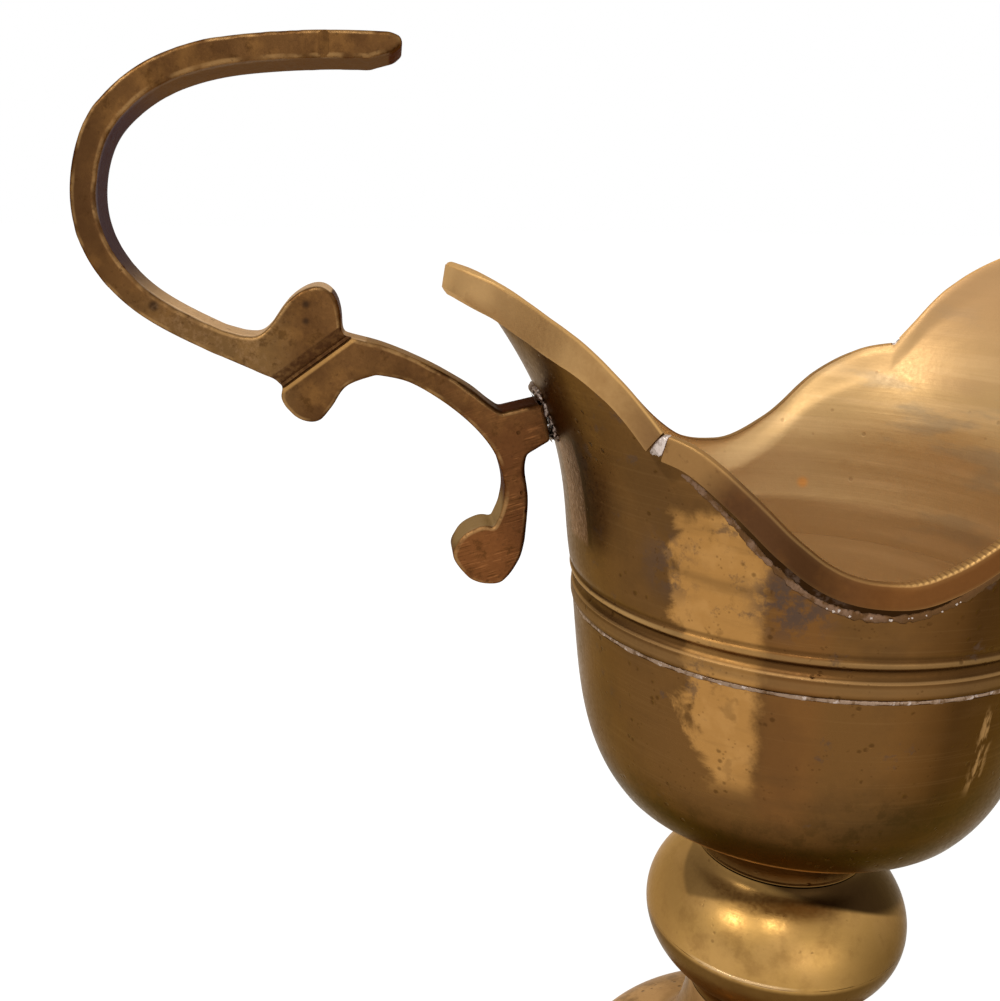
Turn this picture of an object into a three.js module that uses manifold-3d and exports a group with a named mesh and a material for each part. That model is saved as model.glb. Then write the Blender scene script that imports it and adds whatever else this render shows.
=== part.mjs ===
// Pedestal pitcher: a cast and soldered brass ewer with a flared, cut rim and a flat open-loop handle.
// Millimetres, +Z up. Every piece is drawn around the turned axis, with the foot standing on z = 0,
// and the whole group is moved along X at the end so that the origin is under the middle of the object.

import * as THREE from "three";
import { mergeVertices } from "three/addons/utils/BufferGeometryUtils.js";
import Module from "manifold-3d";

const wasm = await Module();
wasm.setup();

// Clearances and walls
const seat_gap = 0.3;
const shell_wall = 2.2;
const turn_steps = 56;
const knop_steps = 48;

// Foot
const foot_height = 51.8;
const foot_base_radius = 54;
const foot_base_height = 5.6;
const foot_dome_radius = 51.3;
const foot_dome_rise = 21.3;
const waist_radius = 19.8;
const waist_bore_radius = 14;

// Knop between foot and bowl
const knop_below = 21.9;
const knop_above = 18.9;
const knop_radius = 32;
const knop_half_height = 21.9;
const neck_radius = 20.6;
const neck_bore_radius = 15.2;
const spigot_length = 5;
const knop_solder_height = 0.6;
// How far the knop's hollow has narrowed, outside each bore, where it ends
const waist_hollow_lip = 1.7916;
const neck_hollow_lip = 2.316;

// Bowl
const bowl_height = 63.4;
const bowl_collar_height = 5.2;
const seam_radius = 53.8;
const body_solder_height = 0.7;

// Upper body, measured up from the body seam
const upper_wall = 1.5;
const band_top = 4.6;
const bead_height = 7.8;
const bead_rise = 0.9;
const bell_start_height = 10;
const bell_start_radius = 54.95;
const bell_end_height = 90;
const bell_end_radius = 95.15;
const bell_inner_drop = 0.5;

// The tongue at the back is pinched in: its sides stand closer to the turned axis than the bell
const pinch_height = 61;
const pinch_rate = 0.62;
const pinch_angle = 9;
const pinch_fade_start = 45;
const pinch_fade_end = 60;

// Rim bands
const rim_band_height = 4.3;
const rim_band_thickness = 2;
const rear_joint_angle = 137.6;
const rear_joint_rise = 49.2;
const spout_cusp_angle = 52;
const spout_cusp_rise = 51.9;
const joint_solder_length = 2;
const fillet_size = 1.7;
const fillet_drop = 2.4;

// Handle, a flat casting that lies in the plane y = 0
const handle_depth = 10.4;
const handle_bar = 5.1;
const handle_bevel = 0.6;
const loop_lean = 1.5;
const groove_width = 3.2;
const groove_depth = 1.3;
const notch_width = 2;
const notch_depth = 0.7;
const handle_solder_thickness = 0.9;
const handle_solder_margin = 1.2;
const plug_bottom = 24;
const plug_top = 60;
const plug_step = 3;

// Heights of the joints above the floor
const waist_height = foot_height;
const knop_seam_height = waist_height + knop_below;
const neck_height = knop_seam_height + knop_above;
const body_seam_height = neck_height + bowl_height;

const brass = (colour, roughness) =>
  new THREE.MeshStandardMaterial({ color: colour, roughness, metalness: 1 });
const body_brass = brass(0x9a713a, 0.32);
const knop_brass = brass(0xb8914e, 0.28);
const rim_brass = brass(0xb08848, 0.34);
const handle_brass = brass(0x8f6231, 0.45);
const solder = brass(0xbfa98c, 0.5);

const group = new THREE.Group();

function addMesh(name, geometry, material) {
  const mesh = new THREE.Mesh(geometry, material);
  mesh.name = name;
  group.add(mesh);
}

const point = (radius, height) => new THREE.Vector2(radius, height);

function bezier(start, control1, control2, end, steps) {
  return new THREE.CubicBezierCurve(start, control1, control2, end).getPoints(steps);
}

// A quarter or part of an ellipse about (0, height), between two angles in degrees from the horizontal
function ellipseArc(radius, halfHeight, height, from, to, steps) {
  const points = [];
  for (let i = 0; i <= steps; i += 1) {
    const angle = THREE.MathUtils.degToRad(from + ((to - from) * i) / steps);
    points.push(point(radius * Math.cos(angle), height + halfHeight * Math.sin(angle)));
  }
  return points;
}

// The outline runs up the outer side and down the inner side, and closes on itself
function turned(outline, steps = turn_steps) {
  const closed = [...outline, outline[0].clone()];
  const geometry = new THREE.LatheGeometry(closed, steps);
  geometry.rotateX(Math.PI / 2);
  return geometry;
}

function toSolid(geometry) {
  const bare = geometry.clone();
  bare.deleteAttribute("normal");
  bare.deleteAttribute("uv");
  const merged = mergeVertices(bare, 1e-4);
  const mesh = new wasm.Mesh({
    numProp: 3,
    vertProperties: new Float32Array(merged.attributes.position.array),
    triVerts: new Uint32Array(merged.index.array),
  });
  mesh.merge();
  return new wasm.Manifold(mesh);
}

function toGeometry(solid) {
  const mesh = solid.getMesh();
  const geometry = new THREE.BufferGeometry();
  geometry.setAttribute("position", new THREE.BufferAttribute(mesh.vertProperties, 3));
  geometry.setIndex(new THREE.BufferAttribute(mesh.triVerts, 1));
  geometry.computeVertexNormals();
  return geometry;
}

// Foot: trumpet stem running into a low dome on a plain base ring, hollow underneath
function footOutline() {
  const domeCentre = foot_base_height + 1.8;
  const joinAngle = 51;
  const dome = ellipseArc(foot_dome_radius, foot_dome_rise, domeCentre, 0, joinAngle, 6);
  const join = dome[dome.length - 1];
  const stem = bezier(
    join,
    point(join.x - 8, join.y + 2.7),
    point(waist_radius + 0.9, waist_height - 11),
    point(waist_radius, waist_height - seat_gap),
    7,
  );
  const spigotRadius = waist_bore_radius - seat_gap;
  const boreRadius = spigotRadius - shell_wall;
  const innerStem = bezier(
    point(boreRadius, waist_height - 8),
    point(boreRadius, waist_height - 20),
    point(join.x - 12, join.y - 2.6),
    point(join.x - 2, join.y - 5),
    4,
  );
  const innerDome = ellipseArc(
    foot_dome_radius - shell_wall,
    foot_dome_rise - shell_wall,
    domeCentre - 1,
    joinAngle - 8,
    0,
    4,
  );
  return [
    point(foot_base_radius, 0),
    point(foot_base_radius, foot_base_height - 1),
    point(foot_base_radius - 1, foot_base_height),
    point(foot_dome_radius - 0.8, foot_base_height),
    ...dome,
    ...stem.slice(1),
    point(spigotRadius, waist_height - seat_gap),
    point(spigotRadius, waist_height + spigot_length),
    point(boreRadius, waist_height + spigot_length),
    ...innerStem,
    ...innerDome,
    point(foot_dome_radius - shell_wall, 0),
  ];
}

// Angle on the knop's ellipse where the radius has the given value
function knopAngle(radius) {
  return THREE.MathUtils.radToDeg(Math.acos(radius / knop_radius));
}

// Angle on the ellipse of the knop's hollow where it ends, a little outside the bore it opens into
function hollowEnd(boreRadius, lip) {
  return THREE.MathUtils.radToDeg(Math.acos((boreRadius + lip) / (knop_radius - shell_wall)));
}

function knopLowerOutline() {
  const top = knop_seam_height - knop_solder_height / 2 - seat_gap;
  const blend = knopAngle(waist_radius + 3.2);
  const wallRadius = knop_radius - shell_wall;
  const wallHalf = knop_half_height - shell_wall;
  const start = knopAngle(knop_radius * 0.999);
  const outer = ellipseArc(knop_radius, knop_half_height, knop_seam_height, -blend, -start, 7);
  const neck = bezier(
    point(waist_radius, waist_height),
    point(waist_radius, waist_height + 3),
    point(outer[0].x - 1.8, outer[0].y - 1.6),
    outer[0],
    3,
  );
  const end = hollowEnd(waist_bore_radius, waist_hollow_lip);
  const inner = ellipseArc(wallRadius, wallHalf, knop_seam_height, -start, -end, 4);
  return [
    ...neck.slice(0, -1),
    ...outer,
    point(knop_radius, top),
    point(wallRadius, top),
    ...inner.slice(1),
    point(waist_bore_radius, knop_seam_height - wallHalf * 0.86),
    point(waist_bore_radius, waist_height),
  ];
}

function knopUpperOutline() {
  const bottom = knop_seam_height + knop_solder_height / 2 + seat_gap;
  const blend = knopAngle(neck_radius + 2.6);
  const wallRadius = knop_radius - shell_wall;
  const wallHalf = knop_half_height - shell_wall;
  const start = knopAngle(knop_radius * 0.999);
  const outer = ellipseArc(knop_radius, knop_half_height, knop_seam_height, start, blend, 7);
  const last = outer[outer.length - 1];
  const neck = bezier(
    last,
    point(last.x - 1.5, last.y + 1.1),
    point(neck_radius, neck_height - 1.8),
    point(neck_radius, neck_height - seat_gap),
    3,
  );
  const end = hollowEnd(neck_bore_radius, neck_hollow_lip);
  const inner = ellipseArc(wallRadius, wallHalf, knop_seam_height, end, start, 4);
  return [
    point(wallRadius, bottom),
    point(knop_radius, bottom),
    ...outer,
    ...neck.slice(1),
    point(neck_bore_radius, neck_height - seat_gap),
    point(neck_bore_radius, knop_seam_height + wallHalf * 0.83),
    ...inner.slice(0, -1),
  ];
}

// Plain ring of solder in a butt seam, a little proud of the wall
function seamRing(radius, wall, height, thickness) {
  const half = thickness / 2;
  return [
    point(radius - wall + 0.2, height - half),
    point(radius + 0.25, height - half),
    point(radius + 0.25, height + half),
    point(radius - wall + 0.2, height + half),
  ];
}

// Lower bowl with a collar and a tubular spigot that drops into the knop's neck
function bowlOutline() {
  const seam = body_seam_height;
  const top = seam - body_solder_height / 2 - seat_gap;
  const collarTop = neck_height + bowl_collar_height;
  const outer = bezier(
    point(neck_radius + 1, collarTop + 0.7),
    point(51.4, seam - 47.4),
    point(50.9, seam - 25.4),
    point(seam_radius, top),
    12,
  );
  const floorHeight = collarTop + 2;
  const inner = bezier(
    point(seam_radius - shell_wall, top),
    point(48.6, seam - 25.4),
    point(49, seam - 45.5),
    point(16, floorHeight),
    8,
  );
  const spigotRadius = neck_bore_radius - seat_gap;
  const boreRadius = spigotRadius - shell_wall;
  const spigotBottom = neck_height - spigot_length;
  return [
    point(0, collarTop - 1.5),
    point(boreRadius, collarTop - 1.5),
    point(boreRadius, spigotBottom),
    point(spigotRadius, spigotBottom),
    point(spigotRadius, neck_height),
    point(neck_radius, neck_height),
    point(neck_radius, collarTop),
    ...outer,
    ...inner,
    point(0, floorHeight - 0.6),
  ];
}

// Outer face of the upper body's bell, with heights above the seam
const bellCurve = new THREE.CubicBezierCurve(
  point(bell_start_radius, bell_start_height),
  point(bell_start_radius + 3.15, bell_start_height + 16.1),
  point(bell_end_radius - 42.4, bell_end_height - 42.3),
  point(bell_end_radius, bell_end_height),
);
const bellPoints = bellCurve.getPoints(160);

// Share of the pinch at an angle from the back
function pinchShare(fromBack) {
  const fade = 1 - THREE.MathUtils.smoothstep(fromBack, pinch_fade_start, pinch_fade_end);
  return fade * (1 - Math.exp(-((fromBack / pinch_angle) ** 2)));
}

// How far the wall is pinched in at a height and an angle from the spout.
// It runs straight between the steps of the turned wall, so that the band follows the wall's facets.
function pinch(height, degrees) {
  const turn = ((degrees % 360) + 360) % 360;
  const step = (Math.abs(turn - 180) * turn_steps) / 360;
  const before = pinchShare((Math.floor(step) * 360) / turn_steps);
  const after = pinchShare((Math.ceil(step) * 360) / turn_steps);
  const share = THREE.MathUtils.lerp(before, after, step - Math.floor(step));
  return share * pinch_rate * Math.max(0, height - pinch_height);
}

// Radius of the bell's outer face at a height above the seam and an angle from the spout
function bellRadius(height, degrees) {
  let radius = bell_end_radius;
  for (let i = 1; i < bellPoints.length; i += 1) {
    const low = bellPoints[i - 1];
    const high = bellPoints[i];
    if (height <= high.y) {
      radius = low.x + ((high.x - low.x) * (height - low.y)) / (high.y - low.y);
      break;
    }
  }
  return radius - pinch(height, degrees);
}

function upperBodyOutline() {
  const seam = body_seam_height;
  const bottom = seam + body_solder_height / 2 + seat_gap;
  const cove = (band_top + bead_height - bead_rise) / 2;
  const mouldings = [
    point(seam_radius + 0.3, bottom),
    point(seam_radius + 0.4, seam + band_top),
    point(seam_radius - 0.5, seam + cove),
    point(bell_start_radius - 0.5, seam + bead_height - bead_rise),
    point(bell_start_radius + 0.1, seam + bead_height),
    point(bell_start_radius - 0.4, seam + bead_height + bead_rise),
  ];
  const outer = bellCurve.getPoints(15).map((p) => point(p.x, p.y + seam));
  const inner = bellCurve.getPoints(9).map((p) => point(p.x - upper_wall, p.y + seam - bell_inner_drop));
  inner.reverse();
  const top = point(bell_end_radius - upper_wall, seam + bell_end_height);
  return [...mouldings, ...outer, top, ...inner, point(seam_radius - upper_wall, bottom)];
}

// The turned upper body with its tongue pinched in
function upperBodyBlank() {
  const geometry = turned(upperBodyOutline());
  const position = geometry.attributes.position;
  for (let i = 0; i < position.count; i += 1) {
    const x = position.getX(i);
    const y = position.getY(i);
    const degrees = THREE.MathUtils.radToDeg(Math.atan2(y, x));
    const radius = Math.hypot(x, y);
    const scale = (radius - pinch(position.getZ(i) - body_seam_height, degrees)) / radius;
    position.setX(i, x * scale);
    position.setY(i, y * scale);
  }
  return geometry;
}

// Rim line: angle from the spout in degrees, and height above the seam. It is the same on both sides.
const spout_lobe = [
  point(0, 85.5),
  point(12, 84.8),
  point(24, 81.6),
  point(36, 75.2),
  point(44, 66.8),
  point(49, 57.4),
  point(spout_cusp_angle, spout_cusp_rise),
];
const side_dip = [
  point(spout_cusp_angle, spout_cusp_rise),
  point(60, 49.5),
  point(70, 42.8),
  point(80, 32.4),
  point(90, 26),
  point(98, 24.6),
  point(107, 26.4),
  point(115, 32),
  point(123, 40),
  point(131, 47),
  point(rear_joint_angle, rear_joint_rise),
];
const rear_lobe = [
  point(rear_joint_angle, rear_joint_rise),
  point(139.2, 51.5),
  point(141, 55.4),
  point(144, 59.9),
  point(148, 63.4),
  point(153, 66),
  point(160, 68.6),
  point(168, 71.4),
  point(174, 74.6),
  point(180, 76.4),
];

// Mirrors a lobe that ends on the plane of symmetry, so that its crest comes out smooth
function sampleLobe(stations, crest) {
  const mirrored = stations.map((p) => point(2 * crest - p.x, p.y)).reverse();
  const whole = crest === 0 ? [...mirrored, ...stations.slice(1)] : [...stations, ...mirrored.slice(1)];
  return new THREE.SplineCurve(whole).getPoints(480);
}

const rimSamples = [
  { from: 0, to: spout_cusp_angle, points: sampleLobe(spout_lobe, 0) },
  { from: spout_cusp_angle, to: rear_joint_angle, points: new THREE.SplineCurve(side_dip).getPoints(240) },
  { from: rear_joint_angle, to: 180, points: sampleLobe(rear_lobe, 180) },
];

function rimHeight(degrees) {
  const turn = ((degrees % 360) + 360) % 360;
  const angle = turn > 180 ? 360 - turn : turn;
  const part = rimSamples.find((item) => angle <= item.to);
  for (let i = 1; i < part.points.length; i += 1) {
    const before = part.points[i - 1];
    const after = part.points[i];
    if (angle >= before.x && angle <= after.x) {
      return before.y + ((after.y - before.y) * (angle - before.x)) / (after.x - before.x);
    }
  }
  return part.points[part.points.length - 1].y;
}

// A thick washer whose underside follows the rim line: what it takes off the bell leaves the cut rim
function rimCutter() {
  const inner = bell_start_radius - shell_wall * 4;
  const outer = bell_end_radius + shell_wall * 4;
  const top = body_seam_height + bell_end_height + shell_wall * 4;
  const outline = [point(inner, 0), point(outer, 0), point(outer, top), point(inner, top)];
  const geometry = turned(outline, turn_steps * 3);
  const position = geometry.attributes.position;
  for (let i = 0; i < position.count; i += 1) {
    if (position.getZ(i) < 1) {
      const degrees = THREE.MathUtils.radToDeg(Math.atan2(position.getY(i), position.getX(i)));
      position.setZ(i, body_seam_height + rimHeight(degrees));
    }
  }
  return geometry;
}

// Place and directions of the rim at an angle: on the wall's outer face, tangent and down the band
function rimFrame(degrees) {
  const at = (d) => {
    const height = rimHeight(d);
    const radius = bellRadius(height, d) + seat_gap;
    const angle = THREE.MathUtils.degToRad(d);
    return new THREE.Vector3(
      radius * Math.cos(angle),
      radius * Math.sin(angle),
      body_seam_height + height,
    );
  };
  const angle = THREE.MathUtils.degToRad(degrees);
  const outward = new THREE.Vector3(Math.cos(angle), Math.sin(angle), 0);
  const along = at(degrees + 0.25).sub(at(degrees - 0.25));
  const down = new THREE.Vector3().crossVectors(along, outward).normalize();
  if (down.z > 0) {
    down.negate();
  }
  return { place: at(degrees), outward, down };
}

// Sweeps a section from one angle to another. section(frame) gives its corners, in turn.
function sweep(from, to, steps, section) {
  const corners = [];
  for (let i = 0; i <= steps; i += 1) {
    corners.push(section(rimFrame(from + ((to - from) * i) / steps)));
  }
  const count = corners[0].length;
  const positions = corners.flat().flatMap((p) => [p.x, p.y, p.z]);
  const index = [];
  for (let i = 0; i < steps; i += 1) {
    for (let j = 0; j < count; j += 1) {
      const a = i * count + j;
      const b = i * count + ((j + 1) % count);
      index.push(a, a + count, b, b, a + count, b + count);
    }
  }
  for (let j = 1; j < count - 1; j += 1) {
    index.push(0, j, j + 1);
    index.push(steps * count, steps * count + j + 1, steps * count + j);
  }
  const geometry = new THREE.BufferGeometry();
  geometry.setAttribute("position", new THREE.Float32BufferAttribute(positions, 3));
  geometry.setIndex(index);
  geometry.computeVertexNormals();
  return geometry;
}

function bandSection(extraHeight, extraThickness) {
  return (frame) => {
    const top = frame.place.clone().addScaledVector(frame.down, -extraHeight / 2);
    const bottom = top.clone().addScaledVector(frame.down, rim_band_height + extraHeight);
    const outward = rim_band_thickness + extraThickness;
    return [
      top,
      bottom,
      bottom.clone().addScaledVector(frame.outward, outward),
      top.clone().addScaledVector(frame.outward, outward),
    ];
  };
}

// Solder run on the wall below the band
function filletSection(frame) {
  const centre = frame.place.clone().addScaledVector(frame.down, rim_band_height + fillet_drop);
  const half = fillet_size / 2;
  const degrees = THREE.MathUtils.radToDeg(Math.atan2(centre.y, centre.x));
  const radius = bellRadius(centre.z - body_seam_height + half, degrees) + seat_gap + half;
  const scale = radius / Math.hypot(centre.x, centre.y);
  centre.x *= scale;
  centre.y *= scale;
  const corner = (down, out) =>
    centre.clone().addScaledVector(frame.down, down).addScaledVector(frame.outward, out);
  return [corner(-half, -half), corner(half, -half), corner(half, 0), corner(-half, half)];
}

// Angle taken up by a length along the rim at a joint
function angleOf(length, degrees) {
  const radius = bellRadius(rimHeight(degrees), degrees) + seat_gap;
  return THREE.MathUtils.radToDeg(length / radius);
}

function addRim() {
  const rearHalf = angleOf(joint_solder_length / 2, rear_joint_angle);
  const spoutHalf = angleOf(joint_solder_length / 2, spout_cusp_angle);
  const gapAngle = angleOf(seat_gap * 1.6, rear_joint_angle);
  const rearStart = rear_joint_angle + rearHalf + gapAngle;
  const spoutEnd = spout_cusp_angle - spoutHalf - gapAngle;
  const sideStart = spout_cusp_angle + spoutHalf + gapAngle;
  const sideEnd = rear_joint_angle - rearHalf - gapAngle;
  const plain = bandSection(0, 0);
  addMesh("rim_band_rear", sweep(rearStart, 360 - rearStart, 60, plain), rim_brass);
  addMesh("rim_band_far", sweep(sideStart, sideEnd, 30, plain), rim_brass);
  addMesh("rim_band_near", sweep(-sideEnd, -sideStart, 30, plain), rim_brass);
  addMesh("rim_band_spout", sweep(-spoutEnd, spoutEnd, 44, plain), rim_brass);
  const blob = bandSection(0.6, 0.4);
  const joints = [
    ["joint_solder_rear_far", rear_joint_angle, rearHalf],
    ["joint_solder_rear_near", -rear_joint_angle, rearHalf],
    ["joint_solder_spout_far", spout_cusp_angle, spoutHalf],
    ["joint_solder_spout_near", -spout_cusp_angle, spoutHalf],
  ];
  for (const [name, angle, half] of joints) {
    addMesh(name, sweep(angle - half, angle + half, 2, blob), solder);
  }
  addMesh("rim_fillet_far", sweep(sideStart + 4, sideEnd - 3, 28, filletSection), solder);
  addMesh("rim_fillet_near", sweep(-sideEnd + 3, -sideStart - 4, 28, filletSection), solder);
}

// Handle outline: x out from the turned axis, negative away from the spout, and height above the seam
const loop_edge = [
  [-94.8, 119.6],
  [-106.1, 119.7],
  [-121, 118.6],
  [-131.1, 116.9],
  [-141.4, 113.1],
  [-150.1, 106],
  [-154.6, 98.4],
  [-156.7, 88.5],
  [-155.7, 80],
  [-152, 72.4],
  [-144.1, 64.6],
  [-131.5, 58.2],
];
const loop_foot = [-118.9, 52.6];
const lower_leaf = [
  [-117.4, 51],
  [-117.7, 48.2],
  [-114.6, 44.5],
  [-110.6, 43.8],
  [-107.6, 46.8],
  [-104.4, 51.2],
  [-98.3, 53.5],
];
const arm_underside = [
  [-98.3, 53.5],
  [-91.6, 52],
  [-84.4, 47.8],
  [-78.2, 42.7],
  [-74, 37.6],
  [-71.9, 32.8],
  [-71.1, 28.2],
  [-71.8, 23.6],
];
const scroll_curl = [
  [-73.3, 20.2],
  [-75.8, 20.5],
  [-79.4, 18.9],
  [-82.1, 15],
  [-81.5, 12],
  [-78, 8.1],
  [-74, 7.1],
  [-71, 7.9],
  [-67.7, 12.5],
  [-66.5, 17.1],
];
const stem_back = [
  [-66.5, 17.1],
  [-66, 26.2],
  [-66.9, 32.9],
  [-66.5, 36.3],
];
const block_end_bottom = [-54, 44];
const block_end_top = [-54, 49.8];
const arm_top = [
  [-72.1, 45.5],
  [-74.6, 47.2],
  [-79.2, 50.8],
  [-86.6, 55.2],
  [-96.6, 59.5],
  [-104.8, 61.6],
];
const upper_leaf = [
  [-105.2, 62.6],
  [-105.5, 66.8],
  [-106.7, 69.9],
  [-109.1, 71.6],
  [-111.9, 70.9],
  [-115.3, 68.7],
  [-119, 62.9],
  [-121.4, 61.6],
  [-124.8, 61.6],
];
const groove_ends = [
  [-119.4, 52.4],
  [-103, 63.9],
];
const notch_ends = [
  [-107.4, 112.6],
  [-107.4, 121],
];
const tip_end = [
  [-94, 115.9],
  [-92.3, 117.4],
  [-92.8, 118.9],
];

const toPoints = (pairs) => pairs.map(([x, z]) => point(x, z));

function smooth(pairs, steps) {
  return new THREE.SplineCurve(toPoints(pairs)).getPoints(steps);
}

// The loop's outer edge, moved inwards by an offset
function loopSide(offset, steps) {
  const line = new THREE.SplineCurve(toPoints(loop_edge));
  const points = [];
  for (let i = 0; i <= steps; i += 1) {
    const tangent = line.getTangent(i / steps);
    const edge = line.getPoint(i / steps);
    points.push(point(edge.x - tangent.y * offset, edge.y + tangent.x * offset));
  }
  return points;
}

function handleShape() {
  return new THREE.Shape([
    ...loopSide(0, 30),
    ...toPoints([loop_foot]),
    ...smooth(lower_leaf, 12),
    ...smooth(arm_underside, 12).slice(1),
    ...smooth(scroll_curl, 18),
    ...smooth(stem_back, 5).slice(1),
    ...toPoints([block_end_bottom, block_end_top]),
    ...smooth(arm_top, 7),
    ...smooth(upper_leaf, 16),
    ...loopSide(handle_bar, 28).slice(1).reverse(),
    ...toPoints(tip_end),
  ]);
}

// A flat shape in x and z, extruded evenly to both sides of the plane y = 0 and raised to the seam
function plate(shape, depth, bevel) {
  const geometry = new THREE.ExtrudeGeometry(shape, {
    depth: depth - 2 * bevel,
    bevelEnabled: bevel > 0,
    bevelThickness: bevel,
    bevelSize: bevel,
    bevelOffset: -bevel,
    bevelSegments: 1,
    steps: 1,
  });
  geometry.translate(0, 0, -(depth - 2 * bevel) / 2);
  geometry.rotateX(Math.PI / 2);
  geometry.translate(0, 0, body_seam_height);
  return geometry;
}

// The top bar of the loop leans: its far side lies lower than its near side
function lean(geometry) {
  const position = geometry.attributes.position;
  const from = body_seam_height + loop_edge[7][1];
  const full = body_seam_height + loop_edge[3][1] - handle_bar;
  for (let i = 0; i < position.count; i += 1) {
    const share = THREE.MathUtils.smoothstep(position.getZ(i), from, full);
    const across = position.getY(i) / handle_depth + 0.5;
    position.setZ(i, position.getZ(i) - loop_lean * share * across);
  }
  return geometry;
}

// A turned solid that follows the bell's outer face near the handle, set off by a distance
function bellPlug(offset) {
  const outline = [];
  for (let height = plug_bottom; height <= plug_top; height += plug_step) {
    outline.push(point(bellRadius(height, 0) + offset, body_seam_height + height));
  }
  const core = waist_radius;
  const low = point(core, body_seam_height + plug_bottom);
  const high = point(core, body_seam_height + plug_top);
  return toSolid(turned([low, ...outline, high], turn_steps * 2));
}

// A V groove across one face of the handle, between two points. Its mouth stands proud of the face.
function grooveCutter(side, ends, width, depth) {
  const [low, high] = toPoints(ends);
  const length = low.distanceTo(high);
  const mouth = 1.3;
  const profile = new THREE.Shape([
    point((-width * mouth) / 2, depth * (mouth - 1)),
    point((width * mouth) / 2, depth * (mouth - 1)),
    point(0, -depth),
  ]);
  const geometry = new THREE.ExtrudeGeometry(profile, { depth: length, bevelEnabled: false });
  const line = new THREE.Vector3(high.x - low.x, 0, high.y - low.y).normalize();
  const face = new THREE.Vector3(0, side, 0);
  const across = new THREE.Vector3().crossVectors(face, line);
  geometry.applyMatrix4(new THREE.Matrix4().makeBasis(across, face, line));
  geometry.translate(low.x, (side * handle_depth) / 2, low.y + body_seam_height);
  return toSolid(geometry);
}

function addHandle() {
  const solderFace = seat_gap + handle_solder_thickness;
  let casting = toSolid(lean(plate(handleShape(), handle_depth, handle_bevel)));
  casting = casting.subtract(bellPlug(solderFace + seat_gap));
  casting = casting.subtract(grooveCutter(-1, groove_ends, groove_width, groove_depth));
  casting = casting.subtract(grooveCutter(1, groove_ends, groove_width, groove_depth));
  casting = casting.subtract(grooveCutter(-1, notch_ends, notch_width, notch_depth));
  addMesh("handle", toGeometry(casting), handle_brass);
  const grow = handle_solder_margin;
  const padShape = new THREE.Shape(
    toPoints([
      [stem_back[3][0], stem_back[3][1] - grow],
      [block_end_bottom[0], block_end_bottom[1] - grow],
      [block_end_top[0], block_end_top[1] + grow],
      [arm_top[0][0], arm_top[0][1] + grow],
    ]),
  );
  const pad = toSolid(plate(padShape, handle_depth + 2 * grow, 0));
  const shell = bellPlug(solderFace).subtract(bellPlug(seat_gap));
  addMesh("handle_solder", toGeometry(pad.intersect(shell)), solder);
}

addMesh("foot", turned(footOutline()), body_brass);
addMesh("knop_lower", turned(knopLowerOutline(), knop_steps), knop_brass);
addMesh("knop_upper", turned(knopUpperOutline(), knop_steps), knop_brass);
addMesh(
  "knop_seam_solder",
  turned(seamRing(knop_radius, shell_wall, knop_seam_height, knop_solder_height), knop_steps),
  solder,
);
addMesh("lower_bowl", turned(bowlOutline()), body_brass);
addMesh(
  "body_seam_solder",
  turned(seamRing(seam_radius, upper_wall, body_seam_height, body_solder_height)),
  solder,
);
const bell = toSolid(upperBodyBlank()).subtract(toSolid(rimCutter()));
addMesh("upper_body", toGeometry(bell), body_brass);
addRim();
addHandle();

// The origin lies under the middle of the object's box
const box = new THREE.Box3().setFromObject(group);
group.position.x = -(box.min.x + box.max.x) / 2;
group.updateMatrixWorld(true);

export default group;
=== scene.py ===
# Looks of the pedestal pitcher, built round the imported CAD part. Lengths below are in millimetres.

import math

import bpy
import numpy as np
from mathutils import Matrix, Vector


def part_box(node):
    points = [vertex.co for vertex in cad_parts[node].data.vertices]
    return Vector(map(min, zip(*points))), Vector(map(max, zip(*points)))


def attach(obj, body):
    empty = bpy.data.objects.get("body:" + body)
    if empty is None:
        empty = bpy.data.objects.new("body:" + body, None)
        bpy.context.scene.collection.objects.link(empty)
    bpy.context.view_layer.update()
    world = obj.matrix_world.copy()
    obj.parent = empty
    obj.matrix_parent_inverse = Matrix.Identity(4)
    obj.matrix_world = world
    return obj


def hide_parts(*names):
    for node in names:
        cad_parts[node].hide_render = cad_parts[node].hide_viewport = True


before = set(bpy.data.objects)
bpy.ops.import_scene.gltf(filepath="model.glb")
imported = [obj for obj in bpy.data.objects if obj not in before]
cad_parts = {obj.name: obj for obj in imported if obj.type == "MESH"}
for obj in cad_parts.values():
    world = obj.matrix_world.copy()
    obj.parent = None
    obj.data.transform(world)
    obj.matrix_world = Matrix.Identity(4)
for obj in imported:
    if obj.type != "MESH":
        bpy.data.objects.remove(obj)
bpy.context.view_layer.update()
bowl_low, bowl_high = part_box("lower_bowl")
AXIS_X = (bowl_low.x + bowl_high.x) / 2
MM = 0.001
SEAM = 156.0


# Curves

def spline(points, count):
    pts = np.array(points, float)
    last = len(pts) - 1
    t = np.linspace(0, last, count)
    i = np.minimum(t.astype(int), last - 1)
    w = (t - i)[:, None]
    p0 = pts[np.maximum(i - 1, 0)]
    p1 = pts[i]
    p2 = pts[i + 1]
    p3 = pts[np.minimum(i + 2, last)]
    v0 = (p2 - p0) / 2
    v1 = (p3 - p1) / 2
    return (2 * p1 - 2 * p2 + v0 + v1) * w**3 + (-3 * p1 + 3 * p2 - 2 * v0 - v1) * w**2 + v0 * w + p1


def smoothed(values, width, passes=2):
    """Values along a line with short waves taken out. The two ends stay where they are."""
    weights = np.hanning(2 * width + 1) / np.hanning(2 * width + 1).sum()
    for _ in range(passes):
        before = 2 * values[0] - values[width:0:-1]
        after = 2 * values[-1] - values[-2:-width - 2:-1]
        values = np.convolve(np.concatenate([before, values, after]), weights, "valid")
    return values


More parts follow.
